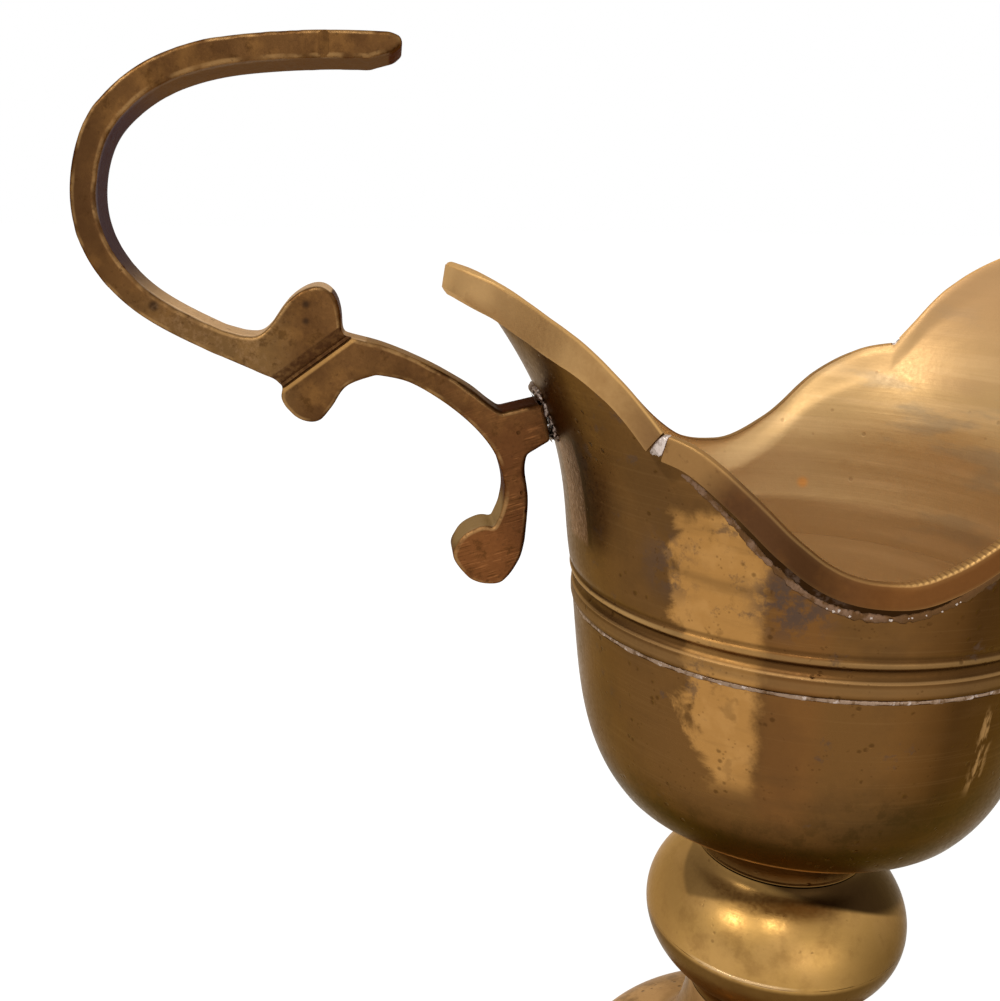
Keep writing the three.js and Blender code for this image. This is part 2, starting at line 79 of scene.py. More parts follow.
def even_out(points, count, width):
    """Heights over even steps of angle, with the corners between the points smoothed away."""
    pts = np.array(points, float)
    a = np.linspace(pts[0, 0], pts[-1, 0], count)
    return np.stack([a, smoothed(np.interp(a, pts[:, 0], pts[:, 1]), width)], axis=1)


def bezier(p0, p1, p2, p3, count):
    t = np.linspace(0, 1, count)[:, None]
    p0, p1, p2, p3 = (np.array(p, float) for p in (p0, p1, p2, p3))
    return (1 - t) ** 3 * p0 + 3 * (1 - t) ** 2 * t * p1 + 3 * (1 - t) * t**2 * p2 + t**3 * p3


def ellipse_arc(radius, half_height, height, start, end, count):
    a = np.radians(np.linspace(start, end, count))
    return np.stack([radius * np.cos(a), height + half_height * np.sin(a)], axis=1)


def smoothstep(x, low, high):
    t = np.clip((x - low) / (high - low), 0, 1)
    return t * t * (3 - 2 * t)


def unit(vectors):
    return vectors / np.linalg.norm(vectors, axis=-1, keepdims=True)


def left_of(along):
    """Unit vectors a quarter turn to the left of these directions."""
    along = unit(along)
    return np.stack([-along[:, 1], along[:, 0]], axis=1)


def full_turn(count):
    return np.linspace(0, 2 * math.pi, count, endpoint=False)


def arc_lengths(points):
    """Distance along a line of points from the first to each of them."""
    steps = np.linalg.norm(np.diff(points, axis=0), axis=1)
    return np.concatenate([[0], np.cumsum(steps)])


def around(radius, height, angle):
    """Points round the axis. The angle is in radians, and each value may be a number or an array."""
    r, z, a = np.broadcast_arrays(radius, height, angle)
    return np.stack([r * np.cos(a), r * np.sin(a), z], axis=-1)


def wobble(x, seed, octaves=3):
    """Smooth random values of about -1 to 1 along x, the same each time."""
    values = np.zeros_like(x, dtype=float)
    draw = np.random.default_rng(seed)
    for k in range(octaves):
        table = draw.uniform(-1, 1, 4096)
        place = x * 2**k
        i = np.floor(place).astype(int)
        f = place - i
        f = f * f * (3 - 2 * f)
        values += (table[i % 4096] * (1 - f) + table[(i + 1) % 4096] * f) / 2**k
    return values


# Meshes

def add_to_scene(name, data):
    obj = bpy.data.objects.new(name, data)
    bpy.context.scene.collection.objects.link(obj)
    return obj


def mesh_object(name, verts, faces):
    """Object from points in millimetres, with x and y measured from the vessel's axis."""
    verts = np.asarray(verts, float) * MM
    verts[:, 0] += AXIS_X
    mesh = bpy.data.meshes.new(name)
    mesh.from_pydata(verts.tolist(), [], [list(map(int, f)) for f in faces])
    mesh.update()
    return add_to_scene(name, mesh)


def add_piece(name, verts, faces, material, node, sharp=0, attributes=None):
    """Smooth piece in the place of a CAD node. Where sharp is given, steeper edges than that stay crisp."""
    obj = mesh_object(name, verts, faces)
    mesh = obj.data
    mesh.materials.append(material)
    mesh.shade_smooth()
    if sharp:
        mesh.set_sharp_from_angle(angle=math.radians(sharp))
    for key, values in (attributes or {}).items():
        layer = mesh.attributes.new(key, "FLOAT", "POINT")
        layer.data.foreach_set("value", np.asarray(values, np.float32))
    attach(obj, "root")
    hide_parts(node)
    return obj


def line_inside(obj, rows, steps, first):
    """Give the faces from this row on the brass of the inside."""
    obj.data.materials.append(inside_brass)
    row = np.repeat(np.arange(rows), steps)
    obj.data.polygons.foreach_set("material_index", (row >= first).astype(np.int32))


def grid_faces(rows, cols, wrap_rows=False, wrap_cols=False):
    faces = []
    for i in range(rows if wrap_rows else rows - 1):
        for j in range(cols if wrap_cols else cols - 1):
            here = i * cols
            above = (i + 1) % rows * cols
            beside = (j + 1) % cols
            faces.append((here + j, here + beside, above + beside, above + j))
    return faces


def tube_faces(rows, count):
    """Faces of a tube whose rows run along it, with a cap at each end."""
    faces = grid_faces(rows, count, wrap_rows=True)
    faces.append([i * count for i in range(rows)])
    faces.append([i * count + count - 1 for i in reversed(range(rows))])
    return faces


def turned(rows, angles):
    """Closed section turned round the axis. A row has a radius and a height, or one of each per angle."""
    verts = np.concatenate([around(r, z, angles) for r, z in rows])
    return verts, grid_faces(len(rows), len(angles), wrap_rows=True, wrap_cols=True)


def lump(centre, radius, seed, rough, squash=(1, 1, 1), rings=8, segments=12):
    """Uneven ball of solder."""
    polar = np.linspace(0, math.pi, rings)[:, None]
    ball = around(np.sin(polar), np.cos(polar), full_turn(segments)).reshape(-1, 3)
    swell = 1 + rough * np.sin(ball @ np.array([5.1, 3.3, 4.7]) + seed)
    verts = np.asarray(centre) + ball * (radius * swell)[:, None] * np.asarray(squash)
    return verts, grid_faces(rings, segments, wrap_cols=True)


def join(parts):
    """One mesh from several."""
    verts, faces, offset = [], [], 0
    for v, f in parts:
        verts.append(np.asarray(v))
        faces += [tuple(i + offset for i in face) for face in f]
        offset += len(v)
    return np.concatenate(verts), faces


# Materials

class Field:
    """A socket in a node tree, with arithmetic."""

    def __init__(self, tree, socket):
        self.tree = tree
        self.socket = socket

    def math(self, operation, *others):
        return math_node(self.tree, operation, self, *others)

    def __add__(self, other):
        return self.math("ADD", other)

    def __sub__(self, other):
        return self.math("SUBTRACT", other)

    def __rsub__(self, other):
        return math_node(self.tree, "SUBTRACT", other, self)

    def __mul__(self, other):
        return self.math("MULTIPLY", other)

    def __truediv__(self, other):
        return self.math("DIVIDE", other)

    __radd__ = __add__
    __rmul__ = __mul__

    def ramp(self, low, high):
        """Smooth rise from 0 at low to 1 at high."""
        inputs = {0: self, 1: low, 2: high}
        return add_node(self.tree, "MapRange", inputs, interpolation_type="SMOOTHSTEP")

    def fall(self, low, high):
        return 1 - self.ramp(low, high)

    def between(self, low, high, soft):
        return self.ramp(low - soft, low + soft) * self.fall(high - soft, high + soft)


def feed(tree, socket, value):
    if isinstance(value, Field):
        tree.links.new(value.socket, socket)
    else:
        socket.default_value = value


def add_node(tree, kind, inputs, output=0, **settings):
    """Node with its settings and inputs. Gives one of its outputs as a field."""
    node = tree.nodes.new("ShaderNode" + kind)
    for key, value in settings.items():
        setattr(node, key, value)
    for key, value in inputs.items():
        feed(tree, node.inputs[key], value)
    return Field(tree, node.outputs[output])


def math_node(tree, operation, *values):
    return add_node(tree, "Math", dict(enumerate(values)), operation=operation)


def mix_shaders(tree, share, first, second):
    return add_node(tree, "MixShader", {0: share, 1: first, 2: second})


def empty_tree(owner):
    owner.use_nodes = True
    owner.node_tree.nodes.clear()
    return owner.node_tree


def end_tree(tree, kind, surface):
    feed(tree, tree.nodes.new("ShaderNodeOutput" + kind).inputs[0], surface)


def tone(colour):
    """Linear colour and alpha for a colour as it should look on the picture, 0 to 255."""
    linear = [((c / 255 + 0.055) / 1.055) ** 2.4 if c > 10 else c / 255 / 12.92 for c in colour]
    return (*linear, 1.0)


class Paint:
    """A brass surface in the making: places, patterns, then colour, roughness and relief.

    x, y and z are in millimetres, x and y from the vessel's axis and z from the body's seam. turn is in
    degrees, 0 at the side that faces -Y and positive towards the spout. near_side is 1 on that side.
    """

    def __init__(self, name):
        self.material = bpy.data.materials.new(name)
        self.tree = empty_tree(self.material)
        coords = self.tree.nodes.new("ShaderNodeTexCoord")
        split = self.tree.nodes.new("ShaderNodeSeparateXYZ")
        self.tree.links.new(coords.outputs["Object"], split.inputs[0])
        x, y, z = (Field(self.tree, split.outputs[i]) for i in range(3))
        self.x = (x - AXIS_X) * 1000.0
        self.y = y * 1000.0
        self.z = z * 1000.0 - SEAM
        radius = (self.x * self.x + self.y * self.y).math("SQRT")
        self.turn = self.x.math("ARCTAN2", self.y * -1.0) * math.degrees(1)
        self.near_side = (self.y / radius).fall(-0.1, 0.8)
        self.colour = self.roughness = self.relief = None

    def combine(self, a, b, c):
        return add_node(self.tree, "CombineXYZ", {0: a, 1: b, 2: c})

    def noise(self, size, detail=3.0, rough=0.55, warp=0.0, stretch=(1, 1, 1), shift=0.0, place=None):
        """Values round 0.5, with features of about this size in millimetres, or in the units of place."""
        a, b, c = place or (self.x * stretch[0] + shift, self.y * stretch[1], self.z * stretch[2])
        place = self.combine(a, b, c)
        return add_node(self.tree, "TexNoise", {
            "Vector": place, "Scale": 1 / size, "Detail": detail, "Roughness": rough, "Distortion": warp,
        })

    def ripple(self, size, **kind):
        """The same noise round 0."""
        return self.noise(size, **kind) - 0.5

    def spots(self, size, shift):
        """Distance to the nearest of many scattered points, in cell sizes."""
        inputs = {"Vector": self.combine(self.x + shift, self.y, self.z), "Scale": 1 / size}
        return add_node(self.tree, "TexVoronoi", inputs, "Distance")

    def attribute(self, name):
        return add_node(self.tree, "Attribute", {}, "Fac", attribute_name=name)

    def near(self, x, y, z, radius, soft):
        dx, dy, dz = self.x - x, self.y - y, self.z - z
        away = (dx * dx + dy * dy + dz * dz).math("SQRT")
        return away.fall(radius - soft, radius + soft)

    def start(self, colour, roughness):
        self.colour = tone(colour)
        self.roughness = roughness

    def lay(self, colour, share):
        inputs = {0: share, 6: self.colour, 7: tone(colour)}
        self.colour = add_node(self.tree, "Mix", inputs, 2, data_type="RGBA")

    def roughen(self, change):
        self.roughness = change + self.roughness

    def raise_by(self, height):
        self.relief = height if self.relief is None else self.relief + height

    def finish(self, metallic=1.0, edge=(228, 214, 196)):
        """The material. Edge is the tint of the metal where it is seen at a low angle."""
        relief = {"Height": self.relief, "Distance": MM, "Strength": 1.0}
        shader = add_node(self.tree, "BsdfPrincipled", {
            "Base Color": self.colour, "Roughness": self.roughness, "Metallic": metallic,
            "Specular Tint": tone(edge), "Normal": add_node(self.tree, "Bump", relief),
        })
        end_tree(self.tree, "Material", shader)
        return self.material


DARK = (62, 38, 14)
BROWN = (88, 61, 33)
MID = (112, 78, 42)
WORN_SHEEN = (166, 120, 64)
LIGHT = (176, 136, 86)
GOLD = (214, 168, 104)
OLIVE = (50, 36, 14)
STAIN = (80, 62, 50)
RED = (98, 57, 30)
SILVER = (204, 188, 178)
BLUISH = (86, 82, 92)


def turned_brass(paint, fine):
    """Ring marks of the lathe, fine grain and small dents that every turned piece has."""
    rings = paint.ripple(0.5, detail=2, stretch=(0.015, 0.015, 1))
    broad = paint.ripple(2.4, detail=2, stretch=(0.03, 0.03, 1), shift=31)
    grain = paint.ripple(0.9, detail=4, shift=11)
    dents = paint.ripple(9, detail=2, shift=57)
    paint.raise_by(rings * fine + broad * fine * 2)
    paint.raise_by(grain * fine + dents * 0.12)
    return rings, grain


def pits(paint, size, radius, depth, keep, share, shift=0.0, colour=DARK):
    """Press small pits into the surface and lay this share of a colour in them."""
    cell = paint.spots(size, shift)
    patch = paint.noise(size * 4, shift=shift + 5)
    where = cell.fall(radius * 0.4, radius) * patch.ramp(keep, keep + 0.04)
    paint.raise_by(where * -depth)
    paint.lay(colour, where * share)


def body_material():
    p = Paint("aged_brass_body")
    rings, grain = turned_brass(p, 0.006)
    blotch = p.noise(22, detail=5, rough=0.6, shift=3)
    flecks = p.ripple(6, detail=6, rough=0.7, shift=63)
    p.start((106, 73, 37), 0.34)
    p.lay(BROWN, blotch.ramp(0.4, 0.62) * 0.75)
    # painted shade for the room's dark reflections on the flank towards the handle and on the wall on the
    # spout's side; the far side is browner
    p.lay(BROWN, p.turn.fall(-62, -40) * p.near_side * 0.48)
    p.lay(BROWN, (1 - p.near_side) * 0.6)
    p.lay(DARK, p.turn.fall(-80, -60) * p.near_side * p.z.ramp(8, 40) * 0.3)
    p.lay(DARK, p.turn.ramp(-5, 12) * p.near_side * 0.85)
    # patch of worn brass that holds a painted reflection of a bright upright light, ragged on its left and
    # straight on its right
    torn = p.ripple(9, detail=6, rough=0.62, warp=0.4) * 26
    left = (p.turn + torn - p.z.fall(-26, -1) * 8).ramp(-48.6, -44.2)
    right = (p.turn + flecks * 7).fall(-31.5, -28.0)
    patch = left * right * p.z.ramp(-27, -20) * (p.z + torn * 0.5).fall(32, 37)
    patch = patch * (1 - p.noise(5, detail=4, shift=44).ramp(0.6, 0.7) * 0.35)
    p.lay(WORN_SHEEN, patch * 0.95)
    p.lay((190, 143, 84), patch * p.noise(7, detail=3, shift=48).ramp(0.5, 0.65) * 0.25)
    # faint upright zones, warm and dull, in the middle
    p.lay((122, 78, 38), p.turn.between(-29, -17, 3) * p.z.between(-30, 30, 3) * 0.35)
    p.lay((126, 82, 34), p.turn.between(-3, 9, 3) * p.z.between(-24, 24, 4) * 0.15)
    # broad dull streaks that follow the turning
    streak = p.noise(14, detail=4, stretch=(0.35, 0.35, 2.2), shift=17)
    p.lay(BROWN, streak.ramp(0.5, 0.68) * 0.4)
    p.lay(LIGHT, rings.ramp(0.04, 0.2) * 0.04)
    # browner over the mouldings, with a painted highlight on their crests that is strongest towards the
    # handle; darker in the cove, beside the bead and in the groove above the seam
    crest_highlight_share = 0.55 - p.turn.ramp(-62, -40) * 0.33
    for colour, low, high, soft, share in (
        (BROWN, 2.0, 9.6, 0.5, 0.3), ((196, 156, 100), 7.3, 8.35, 0.2, crest_highlight_share),
        (LIGHT, 3.85, 4.35, 0.15, 0.5), (LIGHT, 1.4, 3.2, 0.4, 0.16), (DARK, 4.9, 6.3, 0.35, 0.35),
        (DARK, 9.1, 9.9, 0.35, 0.4), (DARK, 0.4, 0.9, 0.2, 0.6),
    ):
        p.lay(colour, p.z.between(low, high, soft) * share)
    p.roughen(p.z.between(0.5, 9, 0.5) * 0.1)
    # painted shade in the corner under the bands
    below = p.attribute("below")
    p.lay((38, 21, 7), below.fall(6.4, 7.3) * (p.turn.ramp(-44, -33) * p.near_side * 0.7 + 0.25))
    # olive tarnish in patches low down, over painted shade that darkens the lower bowl, most on the near
    # side towards the spout
    low = p.z.fall(-36, -14)
    lower = p.z.fall(-39, -26)
    tarnish = p.noise(5, detail=6, rough=0.7, shift=23).ramp(0.47, 0.6)
    p.lay(OLIVE, low * tarnish * p.turn.ramp(-30, 5) * p.near_side * 0.75)
    p.lay(OLIVE, low * p.turn.ramp(-25, 8) * p.near_side * 0.8)
    p.lay(DARK, lower * 0.9)
    p.lay(OLIVE, lower * tarnish * 0.5)
    p.lay((30, 18, 4), p.z.between(-44.2, -36, 2) * 0.6)
    # the underside is brighter again, and a painted highlight runs along its edge at the front
    p.lay((110, 80, 42), p.z.fall(-46, -45) * 0.85)
    p.lay((176, 134, 80), p.z.between(-44.9, -44.0, 0.2) * p.turn.between(-56, -2, 10) * 0.9)
    # grey stains under the near band
    cloud = p.noise(5, detail=5, rough=0.7, shift=41).ramp(0.42, 0.56)
    p.lay(STAIN, p.near(-23, -51, 20, 7, 4) * cloud * 0.95)
    p.lay(STAIN, p.near(-43, -37, 22, 6, 4) * cloud * 0.6)
    p.lay(STAIN, (p.noise(10, detail=6, rough=0.7, shift=91) + p.z * 0.001).ramp(0.6, 0.68) * 0.6)
    # the strip filed flat below the handle
    filed = p.noise(0.55, detail=3, stretch=(0.4, 1, 0.5), shift=5)
    strip = p.turn.between(-86, -75.5, 0.5) * p.z.between(19, 41, 1.2)
    p.lay((122, 88, 62), strip * 0.8)
    p.lay((176, 140, 110), strip * filed.ramp(0.52, 0.62) * 0.6)
    # painted shadow along the strip's right-hand edge
    p.lay(DARK, p.turn.between(-75.4, -73.6, 0.5) * p.z.between(19, 42, 1.0) * 0.75)
    p.raise_by((filed - 0.5) * strip * 0.12)
    # a few light rubbed streaks on the spout's side
    rub = p.turn.between(19, 23, 1.2) * p.z.between(-22, -4, 3)
    p.lay(LIGHT, rub * p.noise(2, detail=4, stretch=(1, 1, 0.3), shift=77).ramp(0.48, 0.6) * 0.6)
    pits(p, 2.4, 0.3, 0.1, 0.56, 0.55)
    pits(p, 1.2, 0.3, 0.03, 0.57, 0.35, shift=70)
    p.roughen((blotch - 0.5) * 0.25 + grain * 0.3 + flecks * 0.15)
    return p.finish(edge=(222, 206, 186))


def inside_material():
    p = Paint("aged_brass_inside")
    _, grain = turned_brass(p, 0.016)
    p.start((190, 153, 101), 0.41)
    streak = p.noise(7, detail=5, stretch=(0.12, 0.12, 1.6), shift=9)
    p.lay((214, 176, 124), streak.ramp(0.45, 0.65) * 0.55)
    p.lay((184, 146, 100), p.noise(18, detail=4, stretch=(0.4, 0.4, 1.5), shift=13).ramp(0.46, 0.66) * 0.6)
    p.lay((158, 138, 108), p.noise(15, detail=5, stretch=(0.5, 0.5, 1.8), shift=29).ramp(0.55, 0.68) * 0.6)
    p.lay((212, 180, 130), p.z.fall(-5, 42) * 0.55)
    p.lay((188, 145, 98), p.z.ramp(36, 70) * 0.8)
    pits(p, 6, 0.13, 0.03, 0.5, 0.25, shift=51, colour=RED)
    p.lay((236, 156, 64), p.near(17.8, 51.1, 14.3, 1.3, 0.9) * 0.6)
    p.roughen((streak - 0.5) * 0.2 + grain * 0.2 + p.z.fall(0, 35) * 0.14)
    return p.finish(metallic=0.8)


def knop_material():
    p = Paint("worn_brass_knop")
    _, grain = turned_brass(p, 0.008)
    p.start((172, 132, 72), 0.34)
    p.lay((184, 142, 84), p.noise(16, detail=4).ramp(0.45, 0.65) * 0.5)
    # painted shade towards the knop's right-hand side
    p.lay((112, 80, 40), p.turn.ramp(10, 70) * p.near_side * 0.6)
    p.lay((126, 90, 46), p.noise(9, detail=5, rough=0.65, shift=19).ramp(0.46, 0.7) * 0.5)
    # painted shade on its left-hand edge, and darker below the seam
    p.lay((120, 86, 44), p.turn.fall(-76, -50) * p.near_side * 0.55)
    p.lay((76, 49, 16), p.z.fall(-84, -82.6) * 0.85)
    # olive stains and painted shade low on the right-hand side
    p.lay(OLIVE, p.turn.ramp(-12, 50) * p.near_side * p.z.fall(-84, -68) * 0.8)
    p.lay((92, 64, 26), p.turn.ramp(-4, 30) * p.near_side * p.z.fall(-80, -68) * 0.5)
    # dull upper part that lies in the bowl's shade
    bend = p.turn + 10.0
    right = p.turn.math("MAXIMUM", 0.0)
    edge = p.z + bend * bend * 0.0013 + right * right * 0.0009
    shade = edge.ramp(-67.3, -66.2) * (p.turn + p.z * 5.3).ramp(-450, -444) * p.near_side
    p.lay((96, 71, 38), shade * 0.72)
    p.lay((36, 21, 8), shade * (p.turn + (p.z + 66.0) * 9.0).ramp(-20, 2) * 0.9)
    pits(p, 2.2, 0.26, 0.04, 0.58, 0.35, shift=8)
    p.lay((220, 186, 138), p.z.between(-82.75, -81.85, 0.15) * p.turn.between(-52, -14, 8) * 0.7)
    p.roughen(grain * 0.3)
    return p.finish()


def foot_material():
    p = Paint("aged_brass_foot")
    _, grain = turned_brass(p, 0.008)
    p.start((176, 134, 86), 0.36)
    p.lay(MID, p.noise(18, detail=5).ramp(0.42, 0.6) * 0.5)
    p.lay(BROWN, p.noise(10, detail=6, rough=0.68, shift=15).ramp(0.52, 0.66) * 0.5)
    p.lay(BROWN, p.z.ramp(-128, -112) * 0.35)
    p.lay(OLIVE, p.z.between(-151.2, -149.6, 0.5) * 0.6)
    pits(p, 2.4, 0.3, 0.06, 0.57, 0.7, shift=18)
    p.roughen(grain * 0.3)
    return p.finish()


def rim_material(name, golden, base, worn, brown, brown_share, end_colour):
    p = Paint(name)
    grain = p.ripple(0.8, detail=4)
    filed = p.ripple(0.6, detail=2, stretch=(0.15, 0.15, 1), shift=3)
    p.start(base, 0.46)
    p.raise_by(grain * 0.02 + filed * 0.02 + p.ripple(5, detail=2, shift=66) * 0.12)
    p.lay(worn, p.noise(7, detail=4, shift=4).ramp(0.46, 0.62) * 0.5)
    p.lay(brown, p.noise(11, detail=5, shift=27).ramp(0.52, 0.66) * brown_share)
    if golden:
        # the tongue's band is brightest at the tip and dull near the joints
        p.lay((206, 166, 112), p.x.fall(-80, -52) * 0.7)
        p.lay((112, 80, 50), p.x.ramp(-58, -46) * p.x.fall(-10, 10) * 0.8)
    p.lay(end_colour, p.attribute("end") * p.noise(2.5, detail=4, shift=12).ramp(0.2, 0.45) * 0.75)
    if not golden:
        p.lay((116, 72, 32), p.turn.ramp(-24, -6) * p.near_side * 0.6)
        p.lay((50, 28, 8), p.turn.between(-27, -17, 4) * 0.45)
    # painted highlight along the band's top edge
    p.lay(GOLD, p.attribute("edge") * 0.7)
    teeth = (p.attribute("along") * 6.0).math("SINE").ramp(-0.2, 0.9)
    p.lay((110, 76, 44), teeth * p.attribute("ridged") * 0.6)
    p.roughen(grain * 0.3)
    return p.finish()


def handle_material():
    p = Paint("cast_brass_handle")
    grain = p.ripple(0.9, detail=5)
    lumps = p.ripple(4, detail=4, shift=3)
    along = p.x * 0.28 - p.z * 0.96
    across = p.x * 0.96 + p.z * 0.28
    # fine scratches that run nearly level across the stem
    scratch = p.noise(1, detail=2, rough=0.6, place=(along / 0.35, p.y, across / 6.0))
    low = (p.z + lumps * 14).fall(34, 56) * p.x.ramp(-92, -78)
    inner = p.attribute("inner")
    p.start((97, 66, 36), 0.42)
    p.lay((70, 44, 23), p.noise(12, detail=5).ramp(0.38, 0.62) * 0.6)
    p.lay((132, 92, 48), p.noise(7, detail=5, rough=0.65, shift=14).ramp(0.44, 0.7) * 0.5)
    p.lay((126, 96, 58), p.z.fall(58, 74) * p.x.fall(-122, -112) * 0.5)
    p.lay((66, 42, 24), p.x.fall(-152, -146) * p.z.ramp(70, 84) * 0.5)
    p.lay(RED, low * 0.65)
    p.lay((130, 80, 42), p.near(-76, -5, 13, 8, 4) * 0.5)
    torn = p.noise(3.5, detail=4, shift=52).ramp(0.42, 0.6)
    p.lay(DARK, low * torn * scratch.ramp(0.53, 0.66) * 0.55)
    p.lay((158, 104, 60), low * torn * scratch.fall(0.36, 0.46) * 0.45)
    p.lay(DARK, p.noise(3, detail=5, rough=0.65, shift=33).ramp(0.56, 0.68) * 0.5)
    # painted highlight along the rounded edges
    p.lay(LIGHT, p.attribute("edge") * p.noise(6, detail=3, shift=21).ramp(0.4, 0.62) * 0.5)
    # painted light: the narrow faces round the bar are greyer than the flat faces, for how light falls on
    # them
    p.lay((90, 70, 52), p.attribute("side") * 0.7)
    # three old casting flaws and a rubbed, mottled stretch near the upper leaf
    for x, z, radius in ((-142.0, 67.5, 0.9), (-112.2, 68.0, 0.7), (-112.3, 64.6, 0.6)):
        p.lay((46, 32, 22), p.near(x, -5.2, z, radius, 0.5) * 0.8)
    rubbed = p.x.fall(-126, -112) * p.x.ramp(-148, -138) * p.z.fall(64, 74)
    p.lay((158, 122, 86), rubbed * p.noise(1.2, detail=5, rough=0.7, shift=61).ramp(0.46, 0.66) * 0.28)
    p.lay((70, 46, 26), p.noise(1.1, detail=4, rough=0.7, shift=83).ramp(0.56, 0.68) * 0.4)
    # darker in the groove between the leaves, with a painted highlight on the ridge below it, both measured
    # from the groove's line
    across_groove = (p.x + 111.0) * 0.586 - (p.z - 57.4) * 0.81
    in_groove = across_groove.between(-1.7, 1.35, 0.3) * p.x.between(-120.5, -101.5, 0.6)
    groove_mottle = p.noise(1.2, detail=3, shift=7).ramp(0.35, 0.6)
    p.lay((66, 40, 22), in_groove * p.z.between(48, 66, 1) * groove_mottle * 0.75)
    ridge_highlight = across_groove.between(1.5, 2.4, 0.25) * p.x.between(-119.5, -101, 0.6) * p.z.between(48, 65, 1)
    p.lay((176, 132, 76), ridge_highlight * 0.7)
    # inside of the loop: dull at the top, with painted reflections, bluish at the back and bright at the
    # bottom
    p.lay((124, 102, 84), inner * 0.85)
    p.lay(BLUISH, inner * p.x.fall(-148, -136) * 0.85)
    p.lay((240, 202, 158), inner * p.z.fall(70, 82) * p.x.ramp(-150, -136) * 0.9)
    # painted highlight on the narrow faces of the arm and near the scroll's curl
    on_arm = p.x.between(-106, -74, 3) * p.z.between(46, 64, 2)
    p.lay((186, 150, 112), p.attribute("side") * on_arm * 0.75)
    p.lay((190, 160, 118), p.near(-77, 0, 21, 8, 2) * p.attribute("side") * 0.6)
    pits(p, 3.4, 0.17, 0.12, 0.53, 0.6, shift=35)
    p.raise_by(grain * 0.05 + lumps * 0.25 + (scratch - 0.5) * low * torn * 0.08)
    p.roughen(grain * 0.35 + low * 0.08)
    return p.finish(edge=(150, 136, 122))


def finish_solder(p):
    grain = p.ripple(0.7, detail=5)
    p.raise_by(grain * 0.14)
    p.roughen(grain * 0.3)
    return p.finish()


def solder_material(name, base, dirt):
    p = Paint(name)
    p.start(base, 0.4)
    p.lay(BROWN, p.noise(2.2, detail=5, rough=0.7).ramp(0.46, 0.62) * dirt)
    p.lay(SILVER, p.noise(1.6, detail=3, shift=5).ramp(0.58, 0.68) * 0.6)
    return finish_solder(p)


def fillet_material():
    p = Paint("brown_solder_run")
    p.start((92, 64, 38), 0.42)
    pale = p.turn.between(-52, -8, 6) * p.noise(3, detail=4, rough=0.65).ramp(0.42, 0.6)
    p.lay((136, 108, 88), pale * 0.6)
    p.lay((196, 180, 168), p.attribute("bead") * 0.85)
    return finish_solder(p)


body_brass = body_material()
inside_brass = inside_material()
knop_brass = knop_material()
foot_brass = foot_material()
GOLDEN_BAND = (True, (156, 118, 72), (176, 138, 88), (140, 102, 62), 0.3, (150, 110, 66))
BROWN_BAND = (False, (86, 56, 33), (110, 72, 38), (66, 41, 25), 0.6, (158, 118, 70))
rear_band_brass = rim_material("satin_brass_rear_band", *GOLDEN_BAND)
side_band_brass = rim_material("brown_brass_side_band", *BROWN_BAND)
spout_band_brass = rim_material("satin_brass_spout_band", *GOLDEN_BAND)
handle_brass = handle_material()
silver_solder = solder_material("silver_solder", SILVER, 0.6)
dull_solder = solder_material("dull_solder", (142, 118, 98), 0.8)
grey_solder = solder_material("grey_solder", (128, 112, 102), 0.8)
fillet_solder = fillet_material()


# Rim line and bell: degrees from the spout, with heights above the body's seam

CUSP, CUSP_RISE = 52, 51.9
JOINT, JOINT_RISE = 137.6, 49.2
SPOUT_LOBE = [(0, 85.5), (12, 84.8), (24, 81.6), (36, 75.2), (44, 66.8), (49, 57.4), (CUSP, CUSP_RISE)]
SIDE_DIP = [
    (CUSP, CUSP_RISE), (60, 49.5), (70, 42.8), (80, 32.4), (90, 26), (98, 24.6), (107, 26.4), (115, 32),
    (123, 40), (131, 47), (JOINT, JOINT_RISE),
]
REAR_LOBE = [
    (JOINT, JOINT_RISE), (139, 51.7), (140.4, 54.3), (143, 58.4), (146, 61.6), (150, 64.4), (155, 66.6),
    (160, 68.4), (166, 70.3), (170, 72.0), (174, 74.1), (180, 75.9),
]
FAR_DROP = 0.9
FOLD_START, FOLD_SLOPE, FOLD_BEND = 61, 0.31, 3.5
BAND_CLEARANCE = 0.3
spout_line = spline([(-a, h) for a, h in SPOUT_LOBE[:0:-1]] + SPOUT_LOBE, count=961)
rear_line = even_out(REAR_LOBE + [(360 - a, h) for a, h in REAR_LOBE[-2::-1]], count=961, width=34)
side_line = spline(SIDE_DIP, count=481)
bell_line = bezier((54.95, 10), (58.1, 26.1), (52.75, 47.7), (95.15, 90), count=400)


def rim_height(degrees):
    """Height of the cut rim above the seam."""
    a = np.abs((np.asarray(degrees, float) + 180) % 360 - 180)
    side, spout, rear = (np.interp(a, *line.T) for line in (side_line, spout_line, rear_line))
    height = np.where(a < CUSP, spout, np.where(a > JOINT, rear, side))
    # the far side of the tongue is a little lower
    far = (np.asarray(degrees, float) % 360) < 180
    return height - far * FAR_DROP * smoothstep(a, 137, 143) * (1 - smoothstep(a, 170, 179))


def pinch(height, degrees):
    """How far the tongue's two sides are folded in."""
    from_back = np.abs(np.abs((degrees + 180) % 360 - 180) - 180)
    share = (1 - smoothstep(from_back, 45, 60)) * (1 - np.exp(-((from_back / 9) ** 2)))
    above = height - FOLD_START
    return share * FOLD_SLOPE * (above + np.hypot(above, FOLD_BEND))


def turned_bell(height):
    return np.interp(height, bell_line[:, 1], bell_line[:, 0])


def bell(height, degrees):
    """Radius of the upper body's outer face."""
    return turned_bell(height) - pinch(height, degrees)


# Upper body: fixed mouldings below, rows that fan out to the cut rim above

WALL, LOW_SWELL = 1.5, 0.45
MOULDINGS = [
    (53.2, 0.2), (53.8, 0.45), (54.15, 0.75), (54.3, 1.3), (54.35, 2.8), (54.25, 4.0), (53.9, 4.4),
    (53.4, 4.8), (53.2, 5.4), (53.25, 6.0), (53.6, 6.5), (54.2, 6.9), (54.65, 7.4), (54.8, 7.9),
    (54.7, 8.35), (54.4, 8.7), (54.45, 9.2), (54.95, 10),
]


